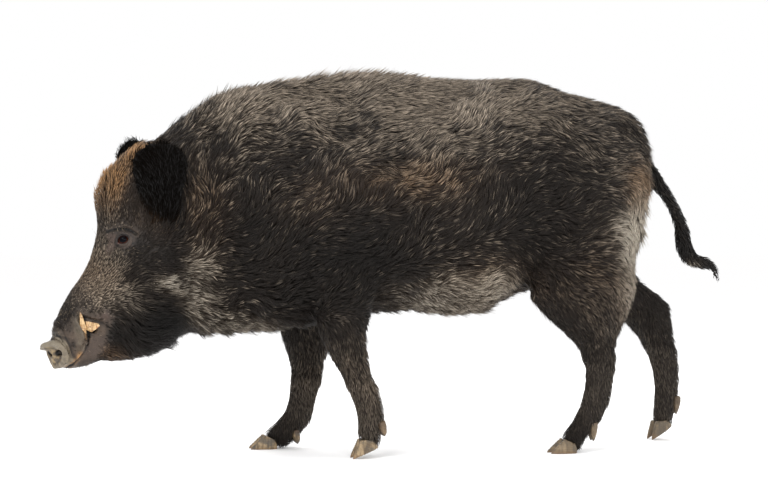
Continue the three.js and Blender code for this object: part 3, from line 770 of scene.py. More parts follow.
coatPieces = {
    # name: node kinds, side (-1 left, 1 right, 0 both), x range in mm, rings, spacing in mm
    "coat_flank_left": (("trunk",), -1, (-999, 120), 2, 4.7),
    "coat_flank_right": (("trunk",), 1, (-999, 120), 2, 4.7),
    "coat_rump_left": (("trunk",), -1, (120, 999), 2, 4.7),
    "coat_rump_right": (("trunk",), 1, (120, 999), 2, 4.7),
    "coat_neck_left": (("neck",), -1, (-999, 999), 3, 4.3),
    "coat_neck_right": (("neck",), 1, (-999, 999), 3, 4.3),
    "bristles_left": (("trunk", "neck", "upper_leg"), -1, (-999, 999), 1, 4.2),
    "bristles_right": (("trunk", "neck", "upper_leg"), 1, (-999, 999), 1, 4.2),
    "coat_mane": (("neck", "trunk"), 0, (-620, 60), 2, 6.4),
    "coat_face_left": (("head", "lower_jaw"), -1, (-999, 999), 2, 3.7),
    "coat_face_right": (("head", "lower_jaw"), 1, (-999, 999), 2, 3.7),
    "coat_ears": (("ear",), 0, (-999, 999), 2, 2.65),
    "coat_forelegs": (("upper_leg",), 0, (-999, 100), 2, 3.9),
    "coat_thighs": (("upper_leg",), 0, (100, 999), 2, 3.9),
    "coat_shanks": (("lower_leg",), 0, (-999, 999), 2, 3.35),
    "coat_tail": (("tail",), 0, (-999, 999), 3, 3.8),
}
tuftShape = {
    "wave": 16,  # degrees that the hair sways from its lie
    "waveSize": 74,  # mm from one sway to the next
    "clump": 15,  # mm between the centres that tips lean to
    "gather": 0.42,  # how far tips lean to the middle of their clump
    "patch": 0.003,  # side of a tuft's patch in OFBake
    "press": (1.0, 0.2),  # tips under this height are pressed up, to this share of the rest
    # how far the shade of one tuft strays from the next, and about what
    "spread": {
        "head": (0.5, 0.5), "lower_leg": (0.14, 0.3), "upper_leg": (0.3, 0.34), "ear": (0.5, 0.5)
    },
    # how freely the tips leave the skin's own curve
    "loose": {
        "ear": 0.75, "tail": 0.6, "head": 0.45, "trunk": 0.34, "neck": 0.36, "lower_leg": 0.85,
        "upper_leg": 0.3
    },
}
# coarse locks that break the line of the back
maneShape = {"reach": 62, "above": 690, "width": 1.6}
# tufts on the back of the legs stand off the line
fringe = {"length": 1.15, "lift": 13}
# locks of the underside and the rump that stand off its line
ragged = {"size": 15, "more": 0.22, "stray": 1.6}


def onePerCell(points, size, rng):
    # one point, picked at random, from each cell of the given size
    order = rng.permutation(len(points))
    cell = np.floor(points[order] / size).astype(np.int64)
    key = cell[:, 0] * 73856093 ^ cell[:, 1] * 19349663 ^ cell[:, 2] * 83492791
    return order[np.unique(key, return_index=True)[1]]


def scatter(skinData, chosen, spacing, rng):
    # roots spread evenly over the chosen triangles: triangle and corner weights
    tris, co = skinData["triangles"], skinData["co"]
    own = np.flatnonzero(chosen[tris].sum(1) >= 2)
    a, b, c = (co[tris[own, k]] for k in range(3))
    area = np.linalg.norm(np.cross(b - a, c - a), axis=1) / 2
    want = area / (spacing * millimetre) ** 2 * 3.0
    count = np.floor(want + rng.random(len(want))).astype(int)
    which = np.repeat(own, count)
    u, v = rng.random((2, len(which)))
    over = u + v > 1
    u[over], v[over] = 1 - u[over], 1 - v[over]
    weights = np.stack([1 - u - v, u, v], 1)
    points = (co[tris[which]] * weights[:, :, None]).sum(1)
    keep = onePerCell(points, spacing * 1.16 * millimetre, rng)
    keep.sort()
    return tris[which[keep]], weights[keep]


def swayed(direction, normal, angle):
    side = np.cross(normal, direction)
    return direction * np.cos(angle)[:, None] + side * np.sin(angle)[:, None]


def tuftPattern(rings):
    # the faces of one tuft, three corners to a ring and a tip
    left, right, ridge = 0, 1, 2
    pattern = [(left, ridge, right)]
    for k in range(rings - 1):
        for a, b in ((right, ridge), (ridge, left), (left, right)):
            a0, b0, a1, b1 = 3 * k + a, 3 * k + b, 3 * k + 3 + a, 3 * k + 3 + b
            pattern += [(a0, b0, b1), (a0, b1, a1)]
    last = 3 * (rings - 1)
    tip = 3 * rings
    pattern += [
        (last + a, last + b, tip) for a, b in ((right, ridge), (ridge, left), (left, right))
    ]
    return np.array(pattern)


def clumped(root, size, rng):
    # the tuft that leads each tuft's clump, and four numbers the clump shares
    centres = onePerCell(root, size, rng)
    finder = KDTree(len(centres))
    for k, index in enumerate(centres.tolist()):
        finder.insert(root[index], k)
    finder.balance()
    clump = np.array([finder.find(p)[1] for p in root.tolist()])
    return centres[clump], rng.random((len(centres), 4))[clump]


def onSkin(tree, points, loose):
    # the nearest places on the skin, left partly where they were, and their normals
    found = [tree.find_nearest(p) for p in points.tolist()]
    place = np.array([f[0] for f in found])
    place += (points - place) * loose
    return place, np.array([f[1] for f in found])


def tuftCorners(points, normals, width, rings):
    # three corners to a ring and a tip, pressed up where they would pass the floor
    breadths = {3: [0.62, 1.0, 0.66], 2: [0.75, 0.95], 1: [0.46]}[rings]
    corner = np.zeros((len(width), rings * 3 + 1, 3))
    for k in range(rings):
        ahead = unit(points[k + 1] - points[k])
        across = unit(np.cross(normals[k], ahead))
        half = (width * breadths[k] / 2 * millimetre)[:, None]
        corner[:, 3 * k] = points[k] - across * half
        corner[:, 3 * k + 1] = points[k] + across * half
        corner[:, 3 * k + 2] = points[k] + normals[k] * half * 0.62
    corner[:, -1] = points[-1]
    gap, share = tuftShape["press"][0] * millimetre, tuftShape["press"][1]
    height = corner[..., 2]
    corner[..., 2] = np.where(height < gap, gap + (height - gap) * share, height)
    return corner


def growPiece(name, skinData, tree, seed):
    kinds, side, (x0, x1), rings, spacing = coatPieces[name]
    rng = np.random.default_rng(seed)
    straight = skinData["straight"]
    chosen = np.isin(skinData["kinds"], kinds) & (straight[:, 0] >= x0) & (straight[:, 0] <= x1)
    if side:
        chosen &= straight[:, 1] * side >= 0
    mane = name == "coat_mane"
    if mane:
        chosen &= np.abs(straight[:, 1]) < maneShape["reach"]
        chosen &= straight[:, 2] > maneShape["above"]
    corners, weights = scatter(skinData, chosen, spacing, rng)

    def at(key):
        values = skinData[key][corners]
        return (values * (weights[:, :, None] if values.ndim == 3 else weights)).sum(1)

    bare = at("bare")
    keep = rng.random(len(bare)) > np.maximum(bare * 0.95, at("ring") * 1.2)
    corners, weights = corners[keep], weights[keep]
    bare = bare[keep]
    count = len(corners)
    root, normal, lie = at("co"), unit(at("normal")), unit(at("lie"))
    depth, length, lift, width, _ = at("fields").T
    marks, home = at("marks"), at("straight")
    if mane:
        width = width * maneShape["width"]
    if kinds[0] in ("upper_leg", "lower_leg"):
        behind = ease((normal[:, 0] - 0.25) / 0.5) * ease((noise(home, 16, 24) - 0.42) / 0.2)
        length = length * (1 + (fringe["length"] - 1) * behind)
        lift = lift + fringe["lift"] * behind
    long = ease((length - 16) / 20)
    sway = (noise(root * 1000, tuftShape["waveSize"], 21) - 0.5) * 2
    sway += (noise(root * 1000, tuftShape["waveSize"] * 0.45, 22) - 0.5) * 1.1
    sway *= math.radians(tuftShape["wave"]) * (0.35 + 0.65 * long)
    curve = (noise(root * 1000, 60, 23) - 0.5) * 1.6 * long
    # clumps: each tuft leans to the nearest centre, and shares its sway and shade
    size = tuftShape["clump"] * (0.45 + 0.55 * long.mean()) * millimetre
    head, clumpRandom = clumped(root, size, rng)
    sway = sway + (clumpRandom[:, 0] - 0.5) * 0.36 + (rng.random(count) - 0.5) * 0.3
    lie = swayed(lie, normal, sway)
    share = 0.72 + 0.34 * rng.random(count) + 0.2 * clumpRandom[:, 1]
    tuftLength = length * share * (1 - 0.6 * bare)
    rise = np.sin(np.radians(lift)) * tuftLength * 0.62 + depth * 0.34
    rise *= 0.7 + 0.3 * clumpRandom[:, 2] + 0.3 * rng.random(count)
    reach = np.sqrt(np.maximum(tuftLength**2 - rise**2, (0.35 * tuftLength) ** 2))
    if mane:
        rise *= 0.85 + 0.45 * rng.random(count)
    if kinds[0] in ("trunk", "neck") and not mane:
        edge = np.maximum(ease((-normal[:, 2] - 0.1) / 0.4), ease((normal[:, 0] - 0.3) / 0.4))
        stray = ragged["stray"] * (noise(home, ragged["size"], 25) - 0.5)
        rise *= 1 + edge * (ragged["more"] + stray)
    width = width * (0.8 + 0.4 * rng.random(count))
    stops = {3: [0, 0.36, 0.7, 1], 2: [0, 0.46, 1], 1: [0.3, 1]}[rings]
    gather = tuftShape["gather"] * (0.4 + 0.6 * long) * (0.7 + 0.5 * clumpRandom[:, 3])
    gather = np.clip(gather, 0, 0.85)
    points, normals = [], []
    for s in stops:
        own = root + swayed(lie, normal, curve * s) * (reach * s * millimetre)[:, None]
        lean = own + (own[head] - own) * (gather * s**1.4)[:, None]
        place, up = onSkin(tree, lean, tuftShape["loose"][kinds[0]] * (s > 0))
        up = unit(up + (1.5 if s < 0.5 else 0.7) * normal)
        height = rise * (1 - (1 - s) ** 1.6) * (1.12 if rings == 1 else 1)
        if not s:
            height = np.full(count, -1.2)
        points.append(place + up * (height * millimetre)[:, None])
        normals.append(up)
    corner, pattern = tuftCorners(points, normals, width, rings), tuftPattern(rings)
    size = rings * 3 + 1
    faces = (np.arange(count)[:, None, None] * size + pattern[None]).reshape(-1, 3)
    mesh = meshFrom(name, corner.reshape(-1, 3), faces)
    s = np.append(np.repeat(stops[:-1], 3), 1.0)
    side3 = np.append(np.tile([-1.0, 1.0, 0.0], rings), 0.0)
    tone = np.clip(0.55 * rng.random(count) + 0.45 * clumpRandom[:, 1], 0, 1)
    spread, about = tuftShape["spread"].get(kinds[0], (1, 0.5))
    tone = about + (tone - 0.5) * spread
    setAttribute(mesh, "along", "FLOAT", np.tile(s, count))
    setAttribute(mesh, "tone", "FLOAT", np.repeat(tone, size))
    strand = np.stack(
        [np.tile(side3, count), np.tile(s, count), np.repeat(rng.random(count), size)], 1
    )
    setAttribute(mesh, "strand", "FLOAT_VECTOR", strand)
    setAttribute(mesh, "marks", "FLOAT_COLOR", np.repeat(marks, size, axis=0))
    addPatches(mesh, faces, unwrapped(home, kinds), s, side3, size)
    print(name, count, "tufts,", len(faces), "triangles")
    return addObject(name, mesh)


def unwrapped(home, kinds):
    # the roots' places on the skin cut along one line and rolled flat, kind by kind
    upright = kinds[0] in ("upper_leg", "lower_leg", "ear")
    run, first, second = (2, 0, 1) if upright else (0, 1, 2)
    groups = np.zeros(len(home), int)
    if upright:
        groups = (home[:, 1] > 0) + 2 * (home[:, 0] > 100)
    uv = np.zeros((len(home), 2))
    names = np.unique(groups)
    for column, group in enumerate(names):
        mine = groups == group
        place = home[mine]
        edges = np.linspace(place[:, run].min(), place[:, run].max() + 1, 13)
        cell = np.clip(np.digitize(place[:, run], edges) - 1, 0, 11)
        count = np.maximum(np.bincount(cell, minlength=12), 1)
        middle = (edges[1:] + edges[:-1]) / 2
        centre = [np.bincount(cell, place[:, k], 12) / count for k in (first, second)]
        if not upright:
            centre[0] *= 0
        a = place[:, first] - np.interp(place[:, run], middle, centre[0])
        b = place[:, second] - np.interp(place[:, run], middle, centre[1])
        angle = np.arctan2(a, b)
        spread = (angle - angle.min()) / max(np.ptp(angle), 1e-6)
        uv[mine, 0] = (column + 0.02 + 0.95 * spread) / len(names)
        uv[mine, 1] = 0.01 + 0.97 * (place[:, run] - edges[0]) / (edges[-1] - edges[0])
    return uv


def addPatches(mesh, faces, uv, along, across, size):
    # each tuft's own small patch at its root's place
    layer = mesh.uv_layers.new(name="OFBake")
    patch = tuftShape["patch"]
    flat = faces.ravel()
    tuft, corner = flat // size, flat % size
    values = uv[tuft] + np.stack([across[corner] * patch / 2, along[corner] * patch], 1)
    layer.uv.foreach_set("vector", values.astype(np.float32).ravel())


def shade(red, green, blue):
    # a colour as seen on a screen, 0 to 255, made linear
    return tuple(((c / 255) ** 2.2) for c in (red, green, blue)) + (1.0,)


def plug(tree, node, inputs):
    # each input gets a link or a plain value
    for key, value in inputs.items():
        if isinstance(value, bpy.types.NodeSocket):
            tree.links.new(value, node.inputs[key])
        else:
            node.inputs[key].default_value = value


def addNode(tree, kind, inputs=None, **settings):
    made = tree.nodes.new(kind)
    for key, value in settings.items():
        setattr(made, key, value)
    plug(tree, made, inputs or {})
    return made


def mixed(tree, factor, a, b):
    return addNode(tree, "ShaderNodeMix", {0: factor, 6: a, 7: b}, data_type="RGBA").outputs[2]


def maths(tree, operation, a, b=0.0, c=None, clamp=False):
    values = {0: a, 1: b}
    if c is not None:
        values[2] = c
    return addNode(tree, "ShaderNodeMath", values, operation=operation, use_clamp=clamp).outputs[0]


def times(tree, a, b):
    return maths(tree, "MULTIPLY", a, b)


def ranged(tree, value, low, high, bottom=0.0, top=1.0):
    inputs = {0: value, 1: low, 2: high, 3: bottom, 4: top}
    return addNode(tree, "ShaderNodeMapRange", inputs, interpolation_type="SMOOTHSTEP").outputs[0]


def grain(tree, vector, scale, detail=2.0, stretch=(1, 1, 1)):
    moved = addNode(tree, "ShaderNodeMapping", {"Vector": vector, "Scale": stretch}).outputs[0]
    inputs = {"Vector": moved, "Scale": scale, "Detail": detail}
    return addNode(tree, "ShaderNodeTexNoise", inputs).outputs["Fac"]


def crackled(tree, vector, scale):
    # distance to the edges of irregular cells
    inputs = {"Vector": vector, "Scale": scale}
    made = addNode(tree, "ShaderNodeTexVoronoi", inputs, feature="DISTANCE_TO_EDGE")
    return made.outputs["Distance"]


def groupOf(name, inputs, outputs):
    tree = bpy.data.node_groups.new(name, "ShaderNodeTree")
    kinds = {"value": "NodeSocketFloat", "colour": "NodeSocketColor", "vector": "NodeSocketVector"}
    for label, kind in inputs:
        tree.interface.new_socket(label, in_out="INPUT", socket_type=kinds[kind])
    for label, kind in outputs:
        tree.interface.new_socket(label, in_out="OUTPUT", socket_type=kinds[kind])
    return tree, tree.nodes.new("NodeGroupInput").outputs, tree.nodes.new("NodeGroupOutput").inputs


coatColours = {
    "root": shade(22, 18, 15),
    "brown": shade(57, 48, 41),
    "pale": shade(180, 164, 145),
    "dull": shade(112, 101, 89),
    "ochre": shade(176, 132, 86),
    "cream": shade(226, 215, 196),
    "creamRoot": shade(96, 83, 69),
    "ochreRoot": shade(74, 55, 39),
    "black": shade(7, 7, 6),
}


def makeCoatGroup():
    inputs = [
        ("Along", "value"), ("Tone", "value"), ("Marks", "colour"), ("Dark", "value"),
        ("Vary", "value"), ("Place", "vector"),
    ]
    tree, given, out = groupOf("coatColour", inputs, [("Color", "colour")])
    c = coatColours
    parts = channels(tree, given["Marks"])
    grizzle, ochre, cream = parts[0], parts[1], parts[2]
    patchy = grain(tree, given["Place"], 9.0, 3.0)
    root = mixed(tree, times(tree, patchy, 0.55), c["root"], c["brown"])
    root = mixed(tree, times(tree, ochre, 0.85), root, c["ochreRoot"])
    root = mixed(tree, times(tree, cream, 0.8), root, c["creamRoot"])
    tip = mixed(tree, given["Vary"], c["dull"], c["pale"])
    tip = mixed(tree, ochre, tip, c["ochre"])
    tip = mixed(tree, maths(tree, "MULTIPLY", cream, 1.1, clamp=True), tip, c["cream"])
    warm = maths(tree, "ADD", times(tree, cream, 0.8), times(tree, ochre, 0.7))
    share = maths(tree, "ADD", grizzle, warm)
    over = maths(tree, "SUBTRACT", share, given["Tone"])
    chosen = maths(tree, "MULTIPLY_ADD", over, 3.0, 0.4, clamp=True)
    band = ranged(tree, given["Along"], 0.26, 0.86)
    colour = mixed(tree, times(tree, chosen, band), root, tip)
    clear = maths(tree, "SUBTRACT", 1.0, times(tree, cream, 0.7))
    darkened = times(tree, given["Dark"], clear)
    colour = mixed(tree, times(tree, darkened, 0.88), colour, c["black"])
    tree.links.new(colour, out["Color"])
    return tree


def newMaterial(name):
    material = bpy.data.materials.new(name)
    material.use_nodes = True
    return material, material.node_tree, material.node_tree.nodes["Principled BSDF"]


def objectPlace(tree):
    return addNode(tree, "ShaderNodeTexCoord").outputs["Object"]


def separate(tree, vector):
    return addNode(tree, "ShaderNodeSeparateXYZ", {"Vector": vector}).outputs


def channels(tree, colour):
    return addNode(tree, "ShaderNodeSeparateColor", {"Color": colour}).outputs


def grouped(tree, group, inputs):
    return addNode(tree, "ShaderNodeGroup", inputs, node_tree=group).outputs


def bumped(tree, shader, height, strength, distance):
    inputs = {"Height": height, "Strength": strength, "Distance": distance}
    plug(tree, shader, {"Normal": addNode(tree, "ShaderNodeBump", inputs).outputs[0]})


def attributeNode(tree, name):
    return addNode(tree, "ShaderNodeAttribute", attribute_name=name).outputs


def makeCoatMaterial(coatGroup, name, shine):
    material, tree, shader = newMaterial(name)
    place = objectPlace(tree)
    marks = attributeNode(tree, "marks")
    strand = attributeNode(tree, "strand")["Vector"]
    coat = grouped(tree, coatGroup, {
        "Along": attributeNode(tree, "along")["Fac"], "Tone": attributeNode(tree, "tone")["Fac"],
        "Marks": marks["Color"], "Dark": marks["Alpha"], "Place": place,
        "Vary": ranged(tree, separate(tree, strand)[2], 0.1, 0.9),
    })
    lines = grain(tree, strand, 3.4, 1.0, (1, 0.16, 40))
    gaps = ranged(tree, lines, 0.36, 0.66, 0.42, 0.0)
    colour = mixed(tree, gaps, coat["Color"], coatColours["root"])
    tree.links.new(colour, shader.inputs["Base Color"])
    bumped(tree, shader, lines, 0.5, 0.0006)
    plug(tree, shader, {"Roughness": 0.56, "Specular IOR Level": shine})
    return material


bareColours = {
    "snout": shade(82, 69, 58),
    "snoutDark": shade(50, 41, 34),
    "disc": shade(146, 126, 94),
    "discDark": shade(84, 74, 62),
    "rim": shade(124, 115, 100),
    "lip": shade(170, 128, 84),
    "flush": shade(72, 58, 51),
    "lowerLip": shade(74, 62, 54),
    "lid": shade(44, 38, 35),
    # painted shade for grooves, creases and nostrils
    "paintedGrooveShade": shade(14, 11, 10),
}


def makeBareGroup():
    # skin without a coat: mottled, darkened with painted shade along its grooves, creases and
    # nostrils, and with fine wrinkles in its height
    inputs = [("Place", "vector"), ("Marks", "colour"), ("PaintedGrooveShade", "value"), ("Tones", "colour")]
    tree, given, out = groupOf("bareSkin", inputs, [("Color", "colour"), ("Height", "value")])
    c = bareColours
    mottle = grain(tree, given["Place"], 95.0, 4.0)
    patches = grain(tree, given["Place"], 34.0, 3.0)
    pores = grain(tree, given["Place"], 620.0, 2.0)
    parts = channels(tree, given["Marks"])
    colour = mixed(tree, ranged(tree, patches, 0.3, 0.7), c["snoutDark"], c["snout"])
    discTone = mixed(tree, ranged(tree, mottle, 0.38, 0.62), c["discDark"], c["disc"])
    colour = mixed(tree, parts[0], colour, discTone)
    colour = mixed(tree, parts[1], colour, c["lip"])
    colour = mixed(tree, parts[2], colour, c["flush"])
    tones = channels(tree, given["Tones"])
    greyed = times(tree, tones[0], ranged(tree, mottle, 0.3, 0.6, 0.55, 1.0))
    colour = mixed(tree, greyed, colour, c["rim"])
    colour = mixed(tree, tones[1], colour, c["lowerLip"])
    colour = mixed(tree, tones[2], colour, c["lid"])
    colour = mixed(tree, ranged(tree, pores, 0.35, 0.7, 0.0, 0.3), colour, c["snoutDark"])
    # the fourth mark channel paints shade into grooves, creases and nostrils
    colour = mixed(tree, given["PaintedGrooveShade"], colour, c["paintedGrooveShade"])
    tree.links.new(colour, out["Color"])
    wrinkles = ranged(tree, crackled(tree, given["Place"], 210.0), 0.0, 0.22)
    height = maths(tree, "ADD", wrinkles, times(tree, pores, 0.6))
    tree.links.new(height, out["Height"])
    return tree


def makeHideMaterial(coatGroup, bareGroup):
    material, tree, shader = newMaterial("hide")
    place = objectPlace(tree)
    marks, bareMarks = attributeNode(tree, "marks"), attributeNode(tree, "bareMarks")
    speckle = grain(tree, place, 260.0, 2.0)
    coat = grouped(tree, coatGroup, {
        "Along": ranged(tree, speckle, 0.3, 0.75, 0.15, 0.75), "Tone": grain(tree, place, 150.0),
        "Marks": marks["Color"], "Dark": marks["Alpha"], "Place": place,
        "Vary": ranged(tree, grain(tree, place, 190.0, 1.0), 0.36, 0.62),
    })
    skinned = grouped(tree, bareGroup, {
        "Place": place, "Marks": bareMarks["Color"], "PaintedGrooveShade": bareMarks["Alpha"],
        "Tones": attributeNode(tree, "bareTones")["Color"],
    })
    bare = attributeNode(tree, "bare")["Fac"]
    tree.links.new(mixed(tree, bare, coat["Color"], skinned["Color"]), shader.inputs["Base Color"])
    height = maths(tree, "ADD", times(tree, skinned["Height"], bare), speckle)
    bumped(tree, shader, height, 0.55, 0.0009)
    tree.links.new(ranged(tree, bare, 0.0, 1.0, 0.7, 0.5), shader.inputs["Roughness"])
    shader.inputs["Specular IOR Level"].default_value = 0.35
    return material


def bareMarksAt(skinData):
    # disc, lip lining, flushed skin and painted shade in grooves, creases and nostrils, then rim,
    # lower lip and lids
    straight = skinData["straight"]
    flat = straight[:, (0, 2)]
    a, b, d = discPlace(straight).T
    size = np.sqrt((a / snoutDisc["halfWidth"]) ** 2 + (b / snoutDisc["halfHeight"]) ** 2)
    turned = np.where(a > -5, -snoutDisc["nearSlope"] * (a + 5), 0)
    front = ease((d - turned - 3) / 6) * ease((1.35 - size) / 0.15)
    marks, tones = np.zeros((len(flat), 4)), np.zeros((len(flat), 4))
    marks[:, 0] = front
    streak = [(-785, 214), (-774, 224), (-764, 237), (-757, 249)]
    marks[:, 1] = nearPath(flat, streak, 5.0) + 0.8 * nearPath(flat, [(-748, 292), (-744, 284)], 4)
    marks[:, 2] = 0.9 * blob(straight, (-703, 335, 18, 14))
    marks[:, 2] += 0.35 * blob(straight, (-728, 262, 30, 30))
    # channel 3 is painted shade: the mouth line, the flange's back, the folds, the pit, the disc's
    # edge and the nostrils darkened
    for path, amount, reach in (
        (facePaths["mouth"][0], 0.9, 2.4), (facePaths["flangeBack"][0], 0.95, 4.0),
        ([(-748, 306), (-742, 298), (-738, 293)], 0.8, 6),
        (facePaths["foldAbove"][0], 0.7, 3.0), (facePaths["pit"][0], 0.6, 4.0),
    ):
        marks[:, 3] += amount * nearPath(flat, path, reach)
    marks[:, 3] += 0.85 * ease((-discFolds(straight, d) - 0.45) / 0.4) * (1 - front)
    marks[:, 3] += 0.7 * np.exp(-(((d - turned - 2) / 3) ** 2)) * (size < 1.4)
    marks[:, 3] += 1.2 * ease((1.35 - nostrils(a, b)) / 0.4) * front
    marks[:, 3] += 0.5 * front * np.exp(-(((size - 0.58) / 0.07) ** 2))
    tones[:, 0] = 0.85 * front * ease((size - 0.66) / 0.14) + 0.4 * front * ease((b - 12) / 6)
    tones[:, 0] += 0.5 * nearPath(flat, [(-768, 330), (-763, 304), (-757, 284), (-757, 262)], 10)
    tones[:, 0] += 0.45 * blob(straight, (-812, 292, 12, 9))
    tones[:, 1] = 0.7 * blob(straight, (-724, 262, 36, 28))
    near = (ease((-600 - straight[:, 0]) / 30) * ease((420 - straight[:, 2]) / 20))[:, None]
    marks, tones = marks * near, tones * near
    tones[:, 2] = skinData["ring"] * (1 - 0.9 * skinData["tear"])
    marks[:, :3] *= 1 - tones[:, 2:3]
    marks[:, 2] += 0.9 * skinData["tear"] * (1 - tones[:, 2])
    # painted shade in the brow crease, the folds by the eye and the lines at its back corner
    crease = 1.15 * nearPath(flat, facePaths["browCrease"][0], 4.0)
    marks[:, 3] += crease + 0.75 * nearPath(flat, facePaths["tearFold"][0], 1.9)
    marks[:, 3] += 0.4 * nearPath(flat, facePaths["bagFold"][0], 1.8)
    for end in ((-634, 499), (-634, 490), (-639, 481)):
        marks[:, 3] += 0.55 * nearPath(flat, [(-649, 497), end], 1.4)
    return np.clip(marks, 0, 1), np.clip(tones, 0, 1)


# Hooves and tusks
hornShape = {
    "voxel": 0.0017, "rounds": 5, "ring": 5.2, "ringHeight": 0.33,
    "sole": 0.0012,  # under this height the sole stays flat
}
tuskShape = {
    "voxel": 0.0009, "rounds": 7,
    "sunk": 9, "below": (314, 34),  # how far roots are sunk in the lip, under which z
    "ahead": (-737, -735, 8),  # and ahead of which x
    "height": (268, 76),
}
heelAngles = {"front_left": 23, "hind_right": 33}
footNodes = [
    leg + part for leg in legNames
    for part in ("_hoof_inner", "_hoof_outer", "_dewclaw_inner", "_dewclaw_outer")
]
tuskNodes = ["lower_tusk_left", "lower_tusk_right", "upper_tusk_left", "upper_tusk_right"]
# corners of the near upper tusk, mm on the straightened head, outer face first
upperTusk = [
    (-750, -58, 322), (-741, -62, 321), (-723, -69, 317), (-719, -69, 312), (-727, -67, 304),
    (-737, -63, 297), (-747, -56, 303), (-744, -34, 318), (-726, -34, 314), (-726, -34, 302),
    (-740, -34, 300),
]


def makeUpperTusks():
    parts = []
    for side in (1, -1):
        builder = bmesh.new()
        corners = np.array(upperTusk, float) * (1, side, 1)
        for corner in posed(corners):
            builder.verts.new(corner)
        bmesh.ops.convex_hull(builder, input=builder.verts)
        bmesh.ops.recalc_face_normals(builder, faces=builder.faces)
        mesh = bpy.data.meshes.new("upperTusk")
        builder.to_mesh(mesh)
        builder.free()
        parts.append(mesh)
    return joined(parts)


def joined(meshes):
    builder = bmesh.new()
    for mesh in meshes:
        builder.from_mesh(mesh)
    result = bpy.data.meshes.new("joined")
    builder.to_mesh(result)
    builder.free()
    return result


def makeHorn():
    parts = []
    for leg in legNames:
        mesh = remeshed(mergedCopy([n for n in footNodes if n.startswith(leg)]), hornShape["voxel"])
        co, ends = coordsOf(mesh), edgesOf(mesh)
        rough = co.copy()
        co = smoothed(co, ends, hornShape["rounds"], 0.5)
        co[:, 2] = np.where(rough[:, 2] < hornShape["sole"], rough[:, 2], co[:, 2])
        setCoords(mesh, co)
        heel = math.radians(heelAngles.get(leg, 0))
        up = (co[:, 2] * math.cos(heel) + co[:, 0] * math.sin(heel)) * 1000
        up += 2.6 * (noise(co * 1000, 26, 31) - 0.5)
        ring = np.sin(up * 2 * math.pi / hornShape["ring"]) + 0.6 * np.sin(up * 2 * math.pi / 3.1)
        chips = noise(co * 1000, 5, 32) - 0.5
        rise = hornShape["ringHeight"] * (ring * (0.5 + noise(co * 1000, 19, 33)) + 1.4 * chips)
        rise *= ease((co[:, 2] * 1000 - 1.5) / 4)
        co += normalsOf(mesh) * (rise * millimetre)[:, None]
        co[:, 2] = np.maximum(co[:, 2], 0)
        setCoords(mesh, co)
        setAttribute(mesh, "height", "FLOAT", (up - up.min()) / np.ptp(up))
        parts.append(mesh)
    return addObject("hooves", joined(parts))


def makeTusks():
    mesh = remeshed(joined([mergedCopy(tuskNodes[:2]), makeUpperTusks()]), tuskShape["voxel"])
    co, ends = coordsOf(mesh), edgesOf(mesh)
    co = smoothed(co, ends, tuskShape["rounds"], 0.5, 0.9)
    straight = straightened(co)
    top, drop = tuskShape["below"]
    front, back, blend = tuskShape["ahead"]
    sunk = tuskShape["sunk"] * ease((top - straight[:, 2]) / drop) * (straight[:, 0] < front)
    root = ease((back - straight[:, 0]) / blend)
    straight[:, 1] -= np.sign(straight[:, 1]) * sunk * root
    co = posed(straight)
    setCoords(mesh, co)
    facets = noise(straight * (1, 1, 0.3), 6, 41) - 0.5
    co += normalsOf(mesh) * (0.55 * facets * millimetre)[:, None]
    setCoords(mesh, co)
    low, tall = tuskShape["height"]
    setAttribute(mesh, "height", "FLOAT", (straight[:, 2] - low) / tall)
    return addObject("tusks", mesh)


def makeHornMaterial():
    material, tree, shader = newMaterial("horn")
    place = objectPlace(tree)
    streaks = grain(tree, place, 150.0, 3.0, (1, 1, 0.22))
    stain = grain(tree, place, 38.0, 4.0)
    height = attributeNode(tree, "height")["Fac"]
    colour = mixed(tree, ranged(tree, streaks, 0.34, 0.68), shade(90, 75, 56), shade(158, 136, 105))
    colour = mixed(tree, ranged(tree, stain, 0.44, 0.6, 0.0, 0.85), colour, shade(82, 77, 70))
    colour = mixed(tree, ranged(tree, height, 0.5, 0.95, 0.0, 0.8), colour, shade(70, 52, 38))
    colour = mixed(tree, ranged(tree, height, 0.0, 0.16, 0.6, 0.0), colour, shade(122, 88, 54))
    behind = ranged(tree, separate(tree, place)[0], 0.0, 0.3, 0.0, 0.5)
    colour = mixed(tree, behind, colour, shade(88, 77, 62))
    tree.links.new(colour, shader.inputs["Base Color"])
    fine = grain(tree, place, 420.0, 2.0, (1, 1, 0.3))
    bumped(tree, shader, fine, 0.4, 0.0007)
    tree.links.new(ranged(tree, stain, 0.3, 0.7, 0.45, 0.68), shader.inputs["Roughness"])
    return material


def makeIvoryMaterial():
    material, tree, shader = newMaterial("ivory")
    place = objectPlace(tree)
    drawn = addNode(tree, "ShaderNodeMapping", {"Vector": place, "Scale": (1, 1, 0.3)}).outputs[0]
    cracks = crackled(tree, drawn, 150.0)
    stain = grain(tree, place, 85.0, 4.0)
    height = attributeNode(tree, "height")["Fac"]
    colour = mixed(tree, ranged(tree, stain, 0.35, 0.65), shade(150, 112, 68), shade(208, 178, 132))
    colour = mixed(tree, ranged(tree, cracks, 0.0, 0.1, 0.85, 0.0), colour, shade(96, 58, 26))
    colour = mixed(tree, ranged(tree, stain, 0.55, 0.7, 0.0, 0.6), colour, shade(158, 100, 48))
    colour = mixed(tree, ranged(tree, height, 0.0, 0.42, 0.7, 0.0), colour, shade(120, 84, 48))
    tree.links.new(colour, shader.inputs["Base Color"])
    bumped(tree, shader, cracks, 0.5, 0.0006)
    tree.links.new(ranged(tree, stain, 0.3, 0.7, 0.26, 0.42), shader.inputs["Roughness"])
    shader.inputs["Coat Weight"].default_value = 0.3
    return material


